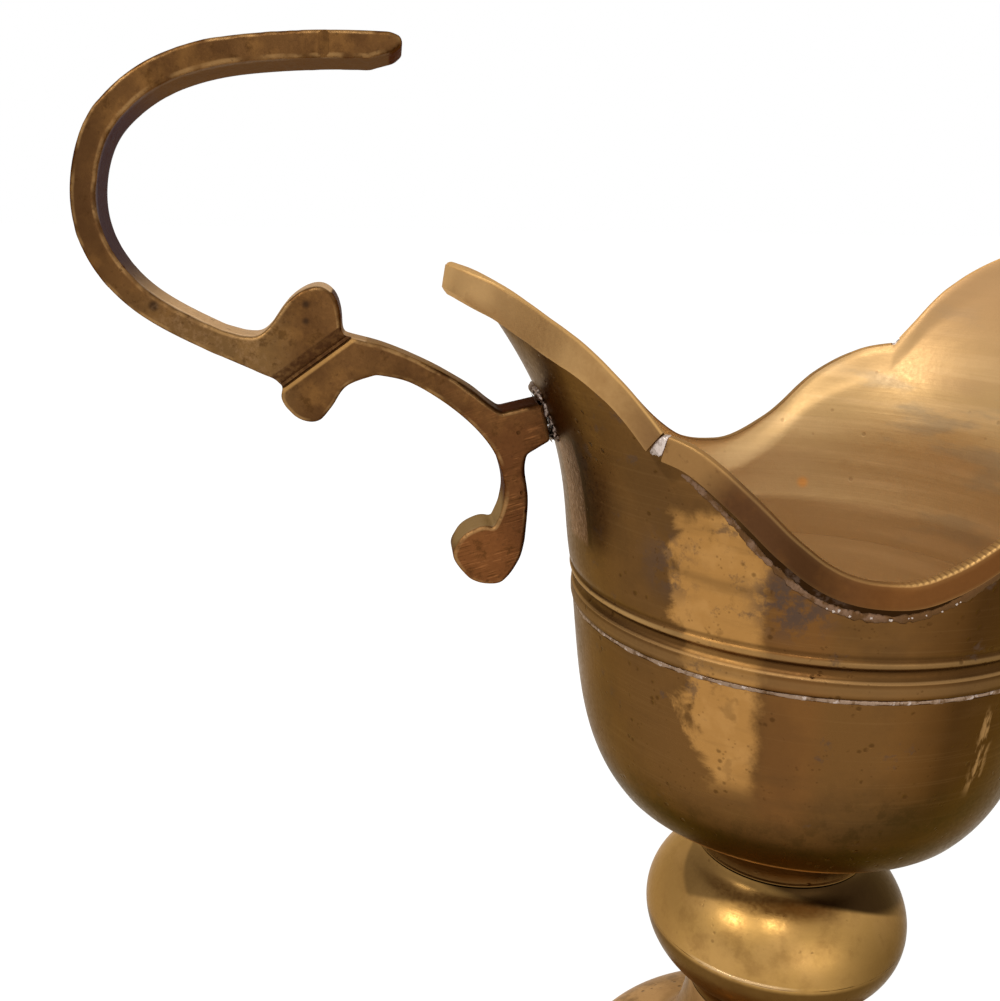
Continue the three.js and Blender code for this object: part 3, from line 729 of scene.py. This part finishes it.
def build_upper_body():
    steps = 720
    angles = np.linspace(-180, 180, steps, endpoint=False)
    for special in (-JOINT, -CUSP, CUSP, JOINT):
        angles[np.argmin(np.abs(angles - special))] = special
    rim = rim_height(angles)
    rows = list(MOULDINGS)
    start = MOULDINGS[-1][1]

    def fade(h):
        return smoothstep(rim - h, 9, 0.3)

    # outer face, then the inner face, which meet in a thin edge inside the band
    for s in np.linspace(0, 1, 49)[1:]:
        h = start + (rim + 0.35 - start) * s
        rows.append((bell(np.minimum(h, rim), angles) + 0.36 * fade(h), h))
    outer_rows = len(rows)
    thinning = WALL + 0.26 - 1.0 * np.exp(-(((np.abs(angles) - CUSP) / 7) ** 2))
    for s in np.linspace(1, 0, 46):
        h = 0.01 + (rim + 0.41) * s
        thick = WALL - thinning * fade(h) + LOW_SWELL * (1 - smoothstep(h, 0, 24))
        rows.append((bell(np.minimum(h, rim), angles) - thick, h))
    rows.append((53.4, 0.01))
    verts, faces = turned([(r, h + SEAM) for r, h in rows], np.radians(angles))
    slope = smoothed(np.hypot(1, np.gradient(rim, np.radians(angles)) / bell(rim, angles)), 8)
    below = np.concatenate([(rim - h) / slope for r, h in rows])
    obj = add_piece("upper_body_shell", verts, faces, body_brass, "upper_body", 35, {"below": below})
    line_inside(obj, len(rows), steps, outer_rows - 1)


def frames(degrees):
    """Points just outside the rim, with directions outward from the axis and down across the band."""
    d = np.asarray(degrees, float)

    def at(a):
        h = rim_height(a)
        return around(bell(h, a) + BAND_CLEARANCE, h + SEAM, np.radians(a))

    outward = around(1.0, 0.0, np.radians(d))
    step = 2.2
    along = at(d + step) - at(d - step)
    down = unit(np.cross(along, outward))
    down *= -np.sign(down[:, 2])[:, None]
    return at(d), outward, down


BAND_LIFT, BAND_OUT, BAND_IN = 0.8, 2.0, 0.1
FILE_PITCH = 1.05


def band_section(tall):
    """Corners of the band's section: depth below its top, distance out, share of the painted highlight on
    its top edge.
    """
    return [
        (2.2, BAND_IN, 0), (tall - 0.1, 1.1, 0), (tall, 1.5, 0), (tall - 0.12, 1.82, 0.3),
        (tall - 0.4, 1.97, 0.1), (tall - 0.9, 2.02, 0), (tall - 1.6, 2.03, 0), (tall * 0.5, 2.03, 0),
        (1.4, 2.02, 0), (0.55, BAND_OUT, 0.1), (0.26, 1.95, 1), (0.06, 1.78, 1),
        (0.0, 1.5, 0.6), (0.0, 1.0, 0.5), (0.0, 0.5, 0.4), (0.08, 0.2, 0.4), (0.35, BAND_IN, 0.3),
    ]


def build_band(name, start, end, material, height, thickness=1.0, ribs=None):
    """Flat band outside the cut rim. height(degrees) is how far it reaches down, thickness a share of the
    full one, ribs(degrees) how strongly its top is marked by the file."""
    count = int(abs(end - start) * 6)
    d = np.linspace(start, end, count)
    place, outward, down = frames(d)
    place = place - down * BAND_LIFT
    distance = arc_lengths(place)
    uneven = wobble(distance / 7, int(abs(start)) + 3) * 0.05
    tall = height(d)
    marked = ribs(d) if ribs else np.zeros(count)
    teeth = marked * np.sin(distance * 2 * math.pi / FILE_PITCH) * 0.06
    tip = smoothstep(np.abs(d - 180), 20, 3)
    rows, edge, ridged = [], [], []
    for depth, out, mark in band_section(tall):
        depth = np.full(count, 0.0) + depth
        on_top = out > 0.3 and np.all(depth < 0.5)
        corner = (out / BAND_OUT) ** 2
        sideways = BAND_IN + (out - BAND_IN) * (thickness + (1 - thickness) * tip)
        sideways = sideways + uneven * (out > 1.9) - tip * 1.0 * (1 - depth / tall) * corner
        sideways += tip * corner * (0.7 - 1.1 * smoothstep(depth, tall - 1.7, tall))
        depth = depth + uneven + (teeth if on_top else 0) + tip * 0.6 * on_top * corner**2
        rows.append(place + down * depth[:, None] + outward * sideways[:, None])
        edge.append(mark * (0.3 + 0.7 * marked if ribs else np.ones(count)))
        ridged.append(marked * on_top)
    end_mark = 1 - smoothstep(distance, 7, 17)
    marks = {
        "edge": np.concatenate(edge), "end": np.tile(end_mark, len(rows)),
        "along": np.tile(distance, len(rows)), "ridged": np.concatenate(ridged),
    }
    verts, faces = np.concatenate(rows), tube_faces(len(rows), count)
    add_piece(name + "_strip", verts, faces, material, name, sharp=30, attributes=marks)


JOINT_HALF, JOINT_RADIUS = 1.05, 72
FILLET_DEPTH = 6.7


def build_joint(name, centre, seed, tall):
    """Blob of solder in the gap between two bands."""
    count, sides = 15, 28
    half = math.degrees(JOINT_HALF / JOINT_RADIUS)
    d = np.linspace(centre - half, centre + half, count)
    place, outward, down = frames(d)
    place = place - down * BAND_LIFT
    swell = np.sqrt(np.clip(1 - (np.linspace(-1, 1, count) * 0.97) ** 4, 0, 1))
    rows = []
    for i, a in enumerate(full_turn(sides)):
        c, s = math.cos(a), math.sin(a)
        lift = 1 + 0.12 * wobble(np.arange(count) * 0.6 + i * 0.9, seed)
        depth = tall * 0.48 + (tall * 0.48) * np.sign(c) * abs(c) ** 0.6 * swell * lift
        out = 1.05 + 1.15 * np.sign(s) * abs(s) ** 0.6 * swell * lift
        out = np.maximum(out, BAND_IN)
        rows.append(place + down * np.maximum(depth, 0.05)[:, None] + outward * out[:, None])
    add_piece(name + "_blob", np.concatenate(rows), tube_faces(sides, count), silver_solder, name)


def build_fillet(name, start, end, seed):
    """Thin run of solder on the wall, a little below the band, with a few beads on it."""
    count, sides = 520, 10
    d = np.linspace(start, end, count)
    place, outward, down = frames(d)
    middle = 1 - np.abs(np.abs(d) - 84) / 26
    centre = place + down * FILLET_DEPTH
    distance = arc_lengths(centre)
    size = 0.4 + 0.1 * wobble(distance / 3.2, seed) + 0.12 * wobble(distance / 1.1, seed + 1)
    size = np.clip(size + 0.06 * np.clip(middle, 0, 1), 0.2, 0.62)
    angle = np.degrees(np.arctan2(centre[:, 1], centre[:, 0]))
    wall = bell(centre[:, 2] - SEAM, angle)
    centre[:, :2] *= (wall / np.hypot(centre[:, 0], centre[:, 1]))[:, None]
    rows = []
    for a in full_turn(sides):
        offset = down * (math.cos(a) * size * 1.9)[:, None] + outward * (math.sin(a) * size * 0.7)[:, None]
        rows.append(centre + offset)
    parts = [(np.concatenate(rows), grid_faces(sides, count, wrap_rows=True))]
    draw = np.random.default_rng(seed + 5)
    run = sides * count
    for k in range(16):
        i = int(np.argmin(np.abs(np.abs(d) - draw.uniform(80, 106))))
        spot = centre[i] + down[i] * draw.uniform(-0.1, 0.5) + outward[i] * 0.1
        parts.append(lump(spot, draw.uniform(0.22, 0.42), k, 0.12))
    verts, faces = join(parts)
    beads = np.arange(len(verts)) >= run
    add_piece(name + "_run", verts, faces, fillet_solder, name, attributes={"bead": beads})


SPLIT, BAND_GAP, REAR_GAP = 136.4, 0.8, 0.3


def build_rim():
    """Bands round the rim, with a joint in each gap between them, at SPLIT or CUSP degrees."""

    def rear_height(d):
        away = np.abs(d - 180)
        tall = 5.2 + 2.0 * smoothstep(away, 43, 22) + 0.5 * smoothstep(away, 24, 10)
        return tall - 1.0 * smoothstep(away, 8, 1)

    def plain_height(d):
        return np.full(np.shape(d), 5.0)

    def filed(d):
        return smoothstep(d, -100, -90) * (1 - smoothstep(d, -62, -54))

    low, high = CUSP + BAND_GAP, SPLIT - BAND_GAP
    rear = SPLIT + BAND_GAP + REAR_GAP
    build_band("rim_band_rear", rear, 360 - SPLIT - BAND_GAP - REAR_GAP, rear_band_brass, rear_height, 0.45)
    build_band("rim_band_far", low, high, side_band_brass, plain_height)
    build_band("rim_band_near", -high, -low, side_band_brass, plain_height, ribs=filed)
    build_band("rim_band_spout", BAND_GAP - CUSP, CUSP - BAND_GAP, spout_band_brass, plain_height)
    for place, angle, seed, tall in (("rear", SPLIT, 3, 4.6), ("spout", CUSP, 13, 4.5)):
        build_joint(f"joint_solder_{place}_far", angle, seed, tall)
        build_joint(f"joint_solder_{place}_near", -angle, seed + 5, tall)
    build_fillet("rim_fillet_far", CUSP + 4, SPLIT - 3, 23)
    build_fillet("rim_fillet_near", 3 - SPLIT, -CUSP - 4, 29)


# Bowl, knop and foot

KNOP_SEAM, WAIST, NECK, COLLAR = 73.7, 51.8, 92.6, 97.8
KNOP_RADIUS, KNOP_HALF_HEIGHT, KNOP_WALL, KNOP_SEAM_ANGLE = 32.0, 21.9, 2.2, 0.9


def build_bowl():
    steps = 256
    side = bezier(
        (25.6, COLLAR + 2.4), (50.9, SEAM - 46.6), (51.0, SEAM - 25.4), (53.8, SEAM - 0.45), 60,
    )[18:]
    underside = bezier((24.9, SEAM - 54), (32, SEAM - 49.3), side[0] - (1.4, 1.75), side[0], 16)
    inner = bezier((53.0, SEAM - 0.01), (51.6, SEAM - 25.4), (48, SEAM - 44.5), (16, COLLAR + 3), 40)
    profile = [
        (0, COLLAR - 1.5), (11.7, COLLAR - 1.5), (11.7, NECK - 5), (14.9, NECK - 5), (14.9, NECK),
        (20.3, NECK), (20.75, NECK + 0.25), (20.75, NECK + 0.5), (20.4, NECK + 0.8), (20.6, NECK + 2.2),
        (21.3, NECK + 3.8), (22.4, COLLAR + 0.2), (23.6, COLLAR + 1.9), (24.4, COLLAR + 2.8),
        (24.8, COLLAR + 3.3), *underside[:-1], *side, (53.5, SEAM - 0.2), (53.3, SEAM - 0.01), *inner,
        (8, COLLAR + 2.5), (0, COLLAR + 2.4),
    ]
    verts, faces = turned(profile, full_turn(steps))
    # all of the bowl lies far below the rim bands and the painted shade under them
    below = np.full(len(verts), 50.0)
    obj = add_piece("lower_bowl_shell", verts, faces, body_brass, "lower_bowl", 38, {"below": below})
    line_inside(obj, len(profile), steps, len(profile) - 2 - len(inner))


def knop_arc(start, end, count):
    return ellipse_arc(KNOP_RADIUS, KNOP_HALF_HEIGHT, KNOP_SEAM, start, end, count)


def knop_hollow(start, end):
    return ellipse_arc(KNOP_RADIUS - KNOP_WALL, KNOP_HALF_HEIGHT - KNOP_WALL, KNOP_SEAM, start, end, 16)


def knop_angle(radius):
    return math.degrees(math.acos(radius / KNOP_RADIUS))


def build_knop():
    """The two hollow halves of the knop, with room for the solder between them."""
    rest = KNOP_SEAM_ANGLE
    outer = knop_arc(-knop_angle(23.0), -rest, 30)
    r, z = outer[0]
    neck = bezier((19.8, WAIST), (19.8, WAIST + 3), (r - 1.8, z - 1.6), (r, z), 8)
    lower = [*neck[:-1], *outer, *knop_hollow(-rest, -58), (14, KNOP_SEAM - 17), (14, WAIST)]
    outer = knop_arc(rest, knop_angle(23.2), 30)
    r, z = outer[-1]
    neck = bezier((r, z), (r - 1.5, z + 1.1), (20.6, NECK - 1.8), (20.5, NECK - 0.35), 8)
    bore = [(20.2, NECK - 0.25), (15.2, NECK - 0.25), (15.2, KNOP_SEAM + 16.5)]
    upper = [*outer, *neck[1:], *bore, *knop_hollow(54, rest)]
    for name, profile in (("knop_lower", lower), ("knop_upper", upper)):
        verts, faces = turned(profile, full_turn(192))
        add_piece(name + "_shell", verts, faces, knop_brass, name, sharp=38)


def build_foot():
    centre, join_angle = 7.4, 51
    dome = ellipse_arc(51.3, 21.3, centre, 0, join_angle, 28)
    r, z = dome[-1]
    stem = bezier((r, z), (r - 8, z + 2.7), (20.7, WAIST - 11), (19.8, WAIST - 0.3), 34)
    inner_stem = bezier((11.5, WAIST - 8), (11.5, WAIST - 20), (r - 12, z - 2.6), (r - 2, z - 5), 18)
    inner_dome = ellipse_arc(49.1, 19.1, 6.4, 43, 0, 16)
    profile = [
        (49.1, 0), (53.6, 0), (54, 0.4), (54.05, 2.4), (54, 4.4), (53.7, 5.1), (53.1, 5.6), (51.6, 5.6),
        (51.0, 5.75), (50.95, 6.3), *dome, *stem[1:], (13.7, WAIST - 0.3), (13.7, WAIST + 5),
        (11.5, WAIST + 5), *inner_stem, *inner_dome[1:],
    ]
    verts, faces = turned(profile, full_turn(224))
    add_piece("foot_shell", verts, faces, foot_brass, "foot", sharp=38)


def ragged_ring(name, radius, height, half, proud, wall, material, seed, span=None):
    """Solder in a seam: a thin ring that swells and thins along its way."""
    a = full_turn(900)
    way = a * radius
    blend = smoothstep(a, 0, 0.4)
    size = 1 + 0.34 * wobble(way / 4, seed) * blend + 0.2 * wobble(way / 1.2, seed + 1) * blend
    size = np.clip(size, 0.35, 2.2)
    tall = np.clip(size, 0.8, 1.5)
    if span:
        size = size * span(np.degrees(a))
    rows = []
    for t in np.linspace(-math.pi / 2, math.pi / 2, 9):
        rows.append((radius - 0.05 + proud * np.cos(t) * size, height + half * np.sin(t) * tall))
    rows += [(radius - wall, height + half), (radius - wall, height - half)]
    verts, faces = turned(rows, a)
    add_piece(name + "_run", verts, faces, material, name)


# Handle: outlines as x from the vessel's axis and z from the body's seam

LOOP_EDGE = [
    (-94.8, 119.6), (-106.1, 119.7), (-121, 118.6), (-131.1, 116.9), (-141.4, 113.1), (-150.1, 106),
    (-154.6, 98.4), (-156.7, 88.5), (-155.7, 80), (-152, 72.4), (-144.1, 64.6), (-131.5, 58.2),
]
LOWER_LEAF = [
    (-117.4, 51), (-117.7, 48.2), (-114.6, 44.5), (-110.6, 43.8), (-107.6, 46.8), (-104.4, 51.2),
    (-98.3, 53.5),
]
ARM_UNDERSIDE = [
    (-98.3, 53.5), (-91.6, 52), (-84.4, 47.8), (-78.2, 42.7), (-74, 37.6), (-71.9, 32.8), (-71.1, 28.2),
    (-71.8, 23.6),
]
SCROLL_CURL = [
    (-73.3, 20.2), (-75.8, 20.5), (-79.4, 18.9), (-82.1, 15), (-81.5, 12), (-78, 8.1), (-74, 7.1),
    (-71, 7.9), (-67.7, 12.5), (-66.5, 17.1),
]
STEM_BACK = [(-66.5, 17.1), (-66, 26.2), (-66.9, 32.9), (-66.5, 36.3)]
ARM_TOP = [(-72.1, 45.5), (-74.6, 47.2), (-79.2, 50.8), (-86.6, 55.2), (-96.6, 59.5), (-104.8, 61.6)]
UPPER_LEAF = [
    (-105.2, 62.6), (-105.5, 66.8), (-106.7, 69.9), (-109.1, 71.6), (-112.3, 71.1), (-116.0, 68.5),
    (-119.3, 64.0), (-122.0, 61.7), (-125.4, 61.7),
]
HANDLE_DEPTH, HANDLE_BAR, LOOP_LEAN = 10.4, 5.1, 1.5
HALF_DEPTH = HANDLE_DEPTH / 2
OUTLINE_STEP = 0.45
LOOP_CENTRE = (-120.0, 90.0)


def loop_side(offset, count):
    """Outer edge of the loop, moved inwards by the offset."""
    line = spline(LOOP_EDGE, count)
    line = np.stack([smoothed(line[:, k], 9) for k in range(2)], axis=1)
    return line + offset * left_of(np.gradient(line, axis=0))


def resample(points, step):
    """Even steps along a closed outline."""
    closed = np.concatenate([points, points[:1]])
    lengths = arc_lengths(closed)
    count = int(lengths[-1] / step)
    at = np.linspace(0, lengths[-1], count, endpoint=False)
    return np.stack([np.interp(at, lengths, closed[:, k]) for k in range(2)], axis=1)


def handle_outline():
    inner = loop_side(HANDLE_BAR, 140)[5:][::-1]
    points = np.concatenate([
        loop_side(0, 140), [(-118.9, 52.6)], spline(LOWER_LEAF, 50), spline(ARM_UNDERSIDE, 50)[1:],
        spline(SCROLL_CURL, 60), spline(STEM_BACK, 20)[1:], [(-61.6, 39.3), (-63.0, 47.65)],
        spline(ARM_TOP, 30), spline(UPPER_LEAF, 60), inner, [(-94, 115.9), (-92.3, 117.4), (-92.8, 118.9)],
    ])
    return resample(points, OUTLINE_STEP)


def build_handle():
    outline = handle_outline()
    for _ in range(2):
        outline = 0.5 * outline + 0.25 * (np.roll(outline, 1, 0) + np.roll(outline, -1, 0))
    count = len(outline)
    inward = left_of(np.roll(outline, -2, 0) - np.roll(outline, 2, 0))
    half = HALF_DEPTH
    # inset, height and share of the painted highlight on the rounded edge
    rounding = [
        (1.0, half, 0), (0.72, half - 0.06, 0.8), (0.42, half - 0.2, 1), (0.16, half - 0.46, 0.8),
        (0, half - 0.95, 0.1),
    ]
    levels = [(inset, -y, mark) for inset, y, mark in rounding]
    levels += [(0, y, 0) for y in np.linspace(-half + 0.95, half - 0.95, 9)[1:-1]]
    levels += list(reversed(rounding))
    uneven = wobble(np.arange(count) * OUTLINE_STEP / 5, 77) * 0.12
    verts, edge, inner, side = [], [], [], []
    x, z = outline[:, 0], outline[:, 1]
    inside = ((x < -95) & (z > 60.5)).astype(float)
    toward = unit(np.array(LOOP_CENTRE) - outline)
    facing_in = ((-inward * toward).sum(1) > 0.2).astype(float) * inside
    for inset, y, mark in levels:
        ring = outline + inward * (inset + uneven * (inset > 0.1))[:, None]
        verts.append(np.stack([ring[:, 0], np.full(count, y), ring[:, 1] + SEAM], axis=1))
        edge.append(np.full(count, float(mark)))
        on_side = 1.0 if abs(y) < half - 0.5 else 0.0
        inner.append(facing_in * on_side)
        side.append(np.full(count, on_side))
    verts = np.concatenate(verts)
    # the arm is thinner on its far side, and the loop's top leans
    x, z = verts[:, 0], verts[:, 2] - SEAM
    arm = smoothstep(x, -109, -101) * (1 - smoothstep(x, -84, -76))
    arm *= smoothstep(z, 38, 42) * (1 - smoothstep(z, 62, 70))
    verts[:, 1] -= arm * 0.55 * np.maximum(verts[:, 1], 0)
    share = smoothstep(z, 88.5, 116.9 - HANDLE_BAR)
    verts[:, 2] -= LOOP_LEAN * share * (verts[:, 1] / HANDLE_DEPTH + 0.5)
    faces = [f[::-1] for f in grid_faces(len(levels), count, wrap_cols=True)]
    faces.append(list(range(count)))
    faces.append([len(levels) * count - 1 - i for i in range(count)])
    marks = {"edge": np.concatenate(edge), "inner": np.concatenate(inner), "side": np.concatenate(side)}
    obj = add_piece("handle_casting", verts, faces, handle_brass, "handle", 32, marks)
    waist = ((-119.6, 51.2), (-102.3, 63.7))
    notch = ((-107.4, 112.0), (-107.2, 121.5))
    ridged = [(-2.0, 0.6), (-1.75, -0.05), (0.7, -1.2), (1.3, -1.15), (1.7, 0.0), (1.9, 0.6)]
    shallow = [(-1.2, 0.6), (-0.9, -0.05), (0.0, -0.45), (0.9, -0.05), (1.2, 0.6)]
    for side, ends, section in ((-1, waist, ridged), (1, waist, ridged), (-1, notch, shallow)):
        cut_groove(obj, side, ends, section)


def cut_groove(obj, side, ends, section):
    """Cut along a straight line in one face of the handle. The section holds places across and heights."""
    low, high = np.array(ends)
    line = unit(high - low)
    across = np.array([line[1], -line[0]])
    face_y = side * HALF_DEPTH
    verts = []
    for end in (low - line * 2, high + line * 2):
        for a, h in section:
            x, z = end + across * a
            verts.append((x, face_y + side * h, z + SEAM))
    n = len(section)
    faces = [[i, (i + 1) % n, n + (i + 1) % n, n + i] for i in range(n)]
    faces += [list(range(n))[::-1], [n + i for i in range(n)]]
    if side < 0:
        faces = [f[::-1] for f in faces]
    cutter = mesh_object("groove", verts, faces)
    modifier = obj.modifiers.new("groove", "BOOLEAN")
    modifier.operation = "DIFFERENCE"
    modifier.solver = "EXACT"
    modifier.object = cutter
    bpy.context.view_layer.update()
    graph = bpy.context.evaluated_depsgraph_get()
    made = bpy.data.meshes.new_from_object(obj.evaluated_get(graph))
    obj.modifiers.clear()
    obj.data = made
    bpy.data.objects.remove(cutter)


def build_handle_solder():
    """Lumps of solder round the end of the handle's block, on the wall, over a thin bed of it."""
    draw = np.random.default_rng(31)
    parts = []
    half, low, high, pitch = HALF_DEPTH, 39.6, 48.2, 0.7

    def wall_point(y, z, out):
        r = turned_bell(z) + out
        return (-math.sqrt(r * r - y * y), y, z + SEAM)

    corners = [(-half, low), (-half, high), (half, high), (half, low), (-half, low)]
    for (y0, z0), (y1, z1) in zip(corners[:-1], corners[1:]):
        length = math.hypot(y1 - y0, z1 - z0)
        for k in range(int(length / pitch)):
            t = (k + draw.uniform(0, 1)) * pitch / length
            y = y0 + (y1 - y0) * t + draw.uniform(-0.55, 0.5)
            z = z0 + (z1 - z0) * t + draw.uniform(-0.6, 0.6)
            size = draw.uniform(0.35, 0.9)
            squash = (0.8, draw.uniform(0.7, 1.3), draw.uniform(0.7, 1.5))
            parts.append(lump(wall_point(y, z, draw.uniform(-0.1, 0.35)), size, k, 0.2, squash))
    large = ((0.3 - half, 49.3, 1.3), (2.4 - half, 49.8, 1.2), (0.5, 49.9, 1.3), (3.5, 49.6, 1.2))
    for y, z, size in large:
        parts.append(lump(wall_point(y, z, 0.2), size, z, 0.1, (0.9, 1.4, 1.0), 12, 18))
    across, up = 14, 12
    ys, zs = np.linspace(-half, half, across), np.linspace(39.0, 48.8, up)
    for out in (1.4, 0.1):
        bed = np.array([wall_point(y, z, out) for y in ys for z in zs])
        parts.append((bed, grid_faces(across, up)))
    verts, faces = join(parts)
    add_piece("handle_solder_beads", verts, faces, grey_solder, "handle_solder")


build_upper_body()
build_rim()
build_bowl()
build_knop()
build_foot()
build_handle()
build_handle_solder()
ragged_ring("body_seam_solder", 53.72, SEAM, 0.44, 0.2, 0.3, dull_solder, 5)


def burr(degrees):
    """Share of the knop's seam solder that stands proud: most of it at the front left."""
    return 0.3 + 0.9 * np.exp(-(((degrees - 236) / 16) ** 2))


ragged_ring("knop_seam_solder", 31.98, KNOP_SEAM, 0.38, 0.2, 1.4, knop_brass, 9, burr)


# Studio, in metres, radians, watts and, for the camera's lens and sensor, millimetres

FLOOR_REACH = 6.0
LAMP_AIM, LAMP_DISTANCE = 0.15, 1.3
CAMERA_LENS, CAMERA_SENSOR = 39.56, 36
CAMERA_PLACE = (-0.065201, -0.231509, 0.247884)
CAMERA_TURN = (1.2906369, -0.0168575, -0.1043978)


def background(tree):
    """Share of rays that see the plain backdrop: the camera's, mirrored and transmitted ones."""
    path = tree.nodes.new("ShaderNodeLightPath")
    kinds = ("Is Camera Ray", "Is Glossy Ray", "Is Transmission Ray")
    camera, glossy, through = (Field(tree, path.outputs[kind]) for kind in kinds)
    return camera.math("MAXIMUM", glossy).math("MAXIMUM", through)


def build_world():
    """A dim, slightly warm light from all sides, which mirrors as plain white."""
    world = bpy.data.worlds.new("studio")
    bpy.context.scene.world = world
    tree = empty_tree(world)
    light = add_node(tree, "Background", {"Color": (1, 0.985, 0.96, 1), "Strength": 0.62})
    white = add_node(tree, "Background", {"Color": (1, 1, 1, 1), "Strength": 1.0})
    end_tree(tree, "World", mix_shaders(tree, background(tree), light, white))


def floor_material():
    """Pale floor that keeps the shadow, and that the camera and the metal see as nearly white."""
    material = bpy.data.materials.new("pale_floor")
    tree = empty_tree(material)
    matt = add_node(tree, "BsdfDiffuse", {"Color": (0.8, 0.79, 0.77, 1)})
    half = add_node(tree, "BsdfDiffuse", {"Color": (0.45, 0.45, 0.45, 1)})
    glow = add_node(tree, "Emission", {"Strength": 0.78})
    both = add_node(tree, "AddShader", {0: half, 1: glow})
    end_tree(tree, "Material", mix_shaders(tree, background(tree), matt, both))
    return material


def add_floor():
    mesh = bpy.data.meshes.new("floor")
    corners = [(x * FLOOR_REACH, y * FLOOR_REACH, 0) for x, y in ((-1, -1), (1, -1), (1, 1), (-1, 1))]
    mesh.from_pydata(corners, [], [(0, 1, 2, 3)])
    mesh.materials.append(floor_material())
    floor = add_to_scene("floor", mesh)


def add_lamp(name, azimuth, elevation, size, power):
    """Round lamp aimed at the bowl. Azimuth is measured from +X towards +Y."""
    a, e = math.radians(azimuth), math.radians(elevation)
    data = bpy.data.lights.new(name, "AREA")
    data.shape = "DISK"
    data.size = size
    data.energy = power
    lamp = add_to_scene(name, data)
    toward = np.array([math.cos(e) * math.cos(a), math.cos(e) * math.sin(a), math.sin(e)])
    lamp.location = np.array([AXIS_X, 0, LAMP_AIM]) + toward * LAMP_DISTANCE
    lamp.rotation_euler = Vector(toward).to_track_quat("Z", "Y").to_euler()


def add_camera():
    data = bpy.data.cameras.new("camera")
    data.lens = CAMERA_LENS
    data.sensor_width = CAMERA_SENSOR
    data.clip_start = 0.01
    camera = add_to_scene("camera", data)
    camera.location = CAMERA_PLACE
    camera.rotation_euler = CAMERA_TURN
    bpy.context.scene.camera = camera


build_world()
add_floor()
add_lamp("left_lamp", -153, 41, 0.12, 3.2)
add_lamp("front_lamp", -111, 52, 0.1, 2.2)
add_lamp("low_lamp", -75, 9, 1.0, 2.5)
add_camera()
bpy.context.scene.view_settings.view_transform = "Standard"
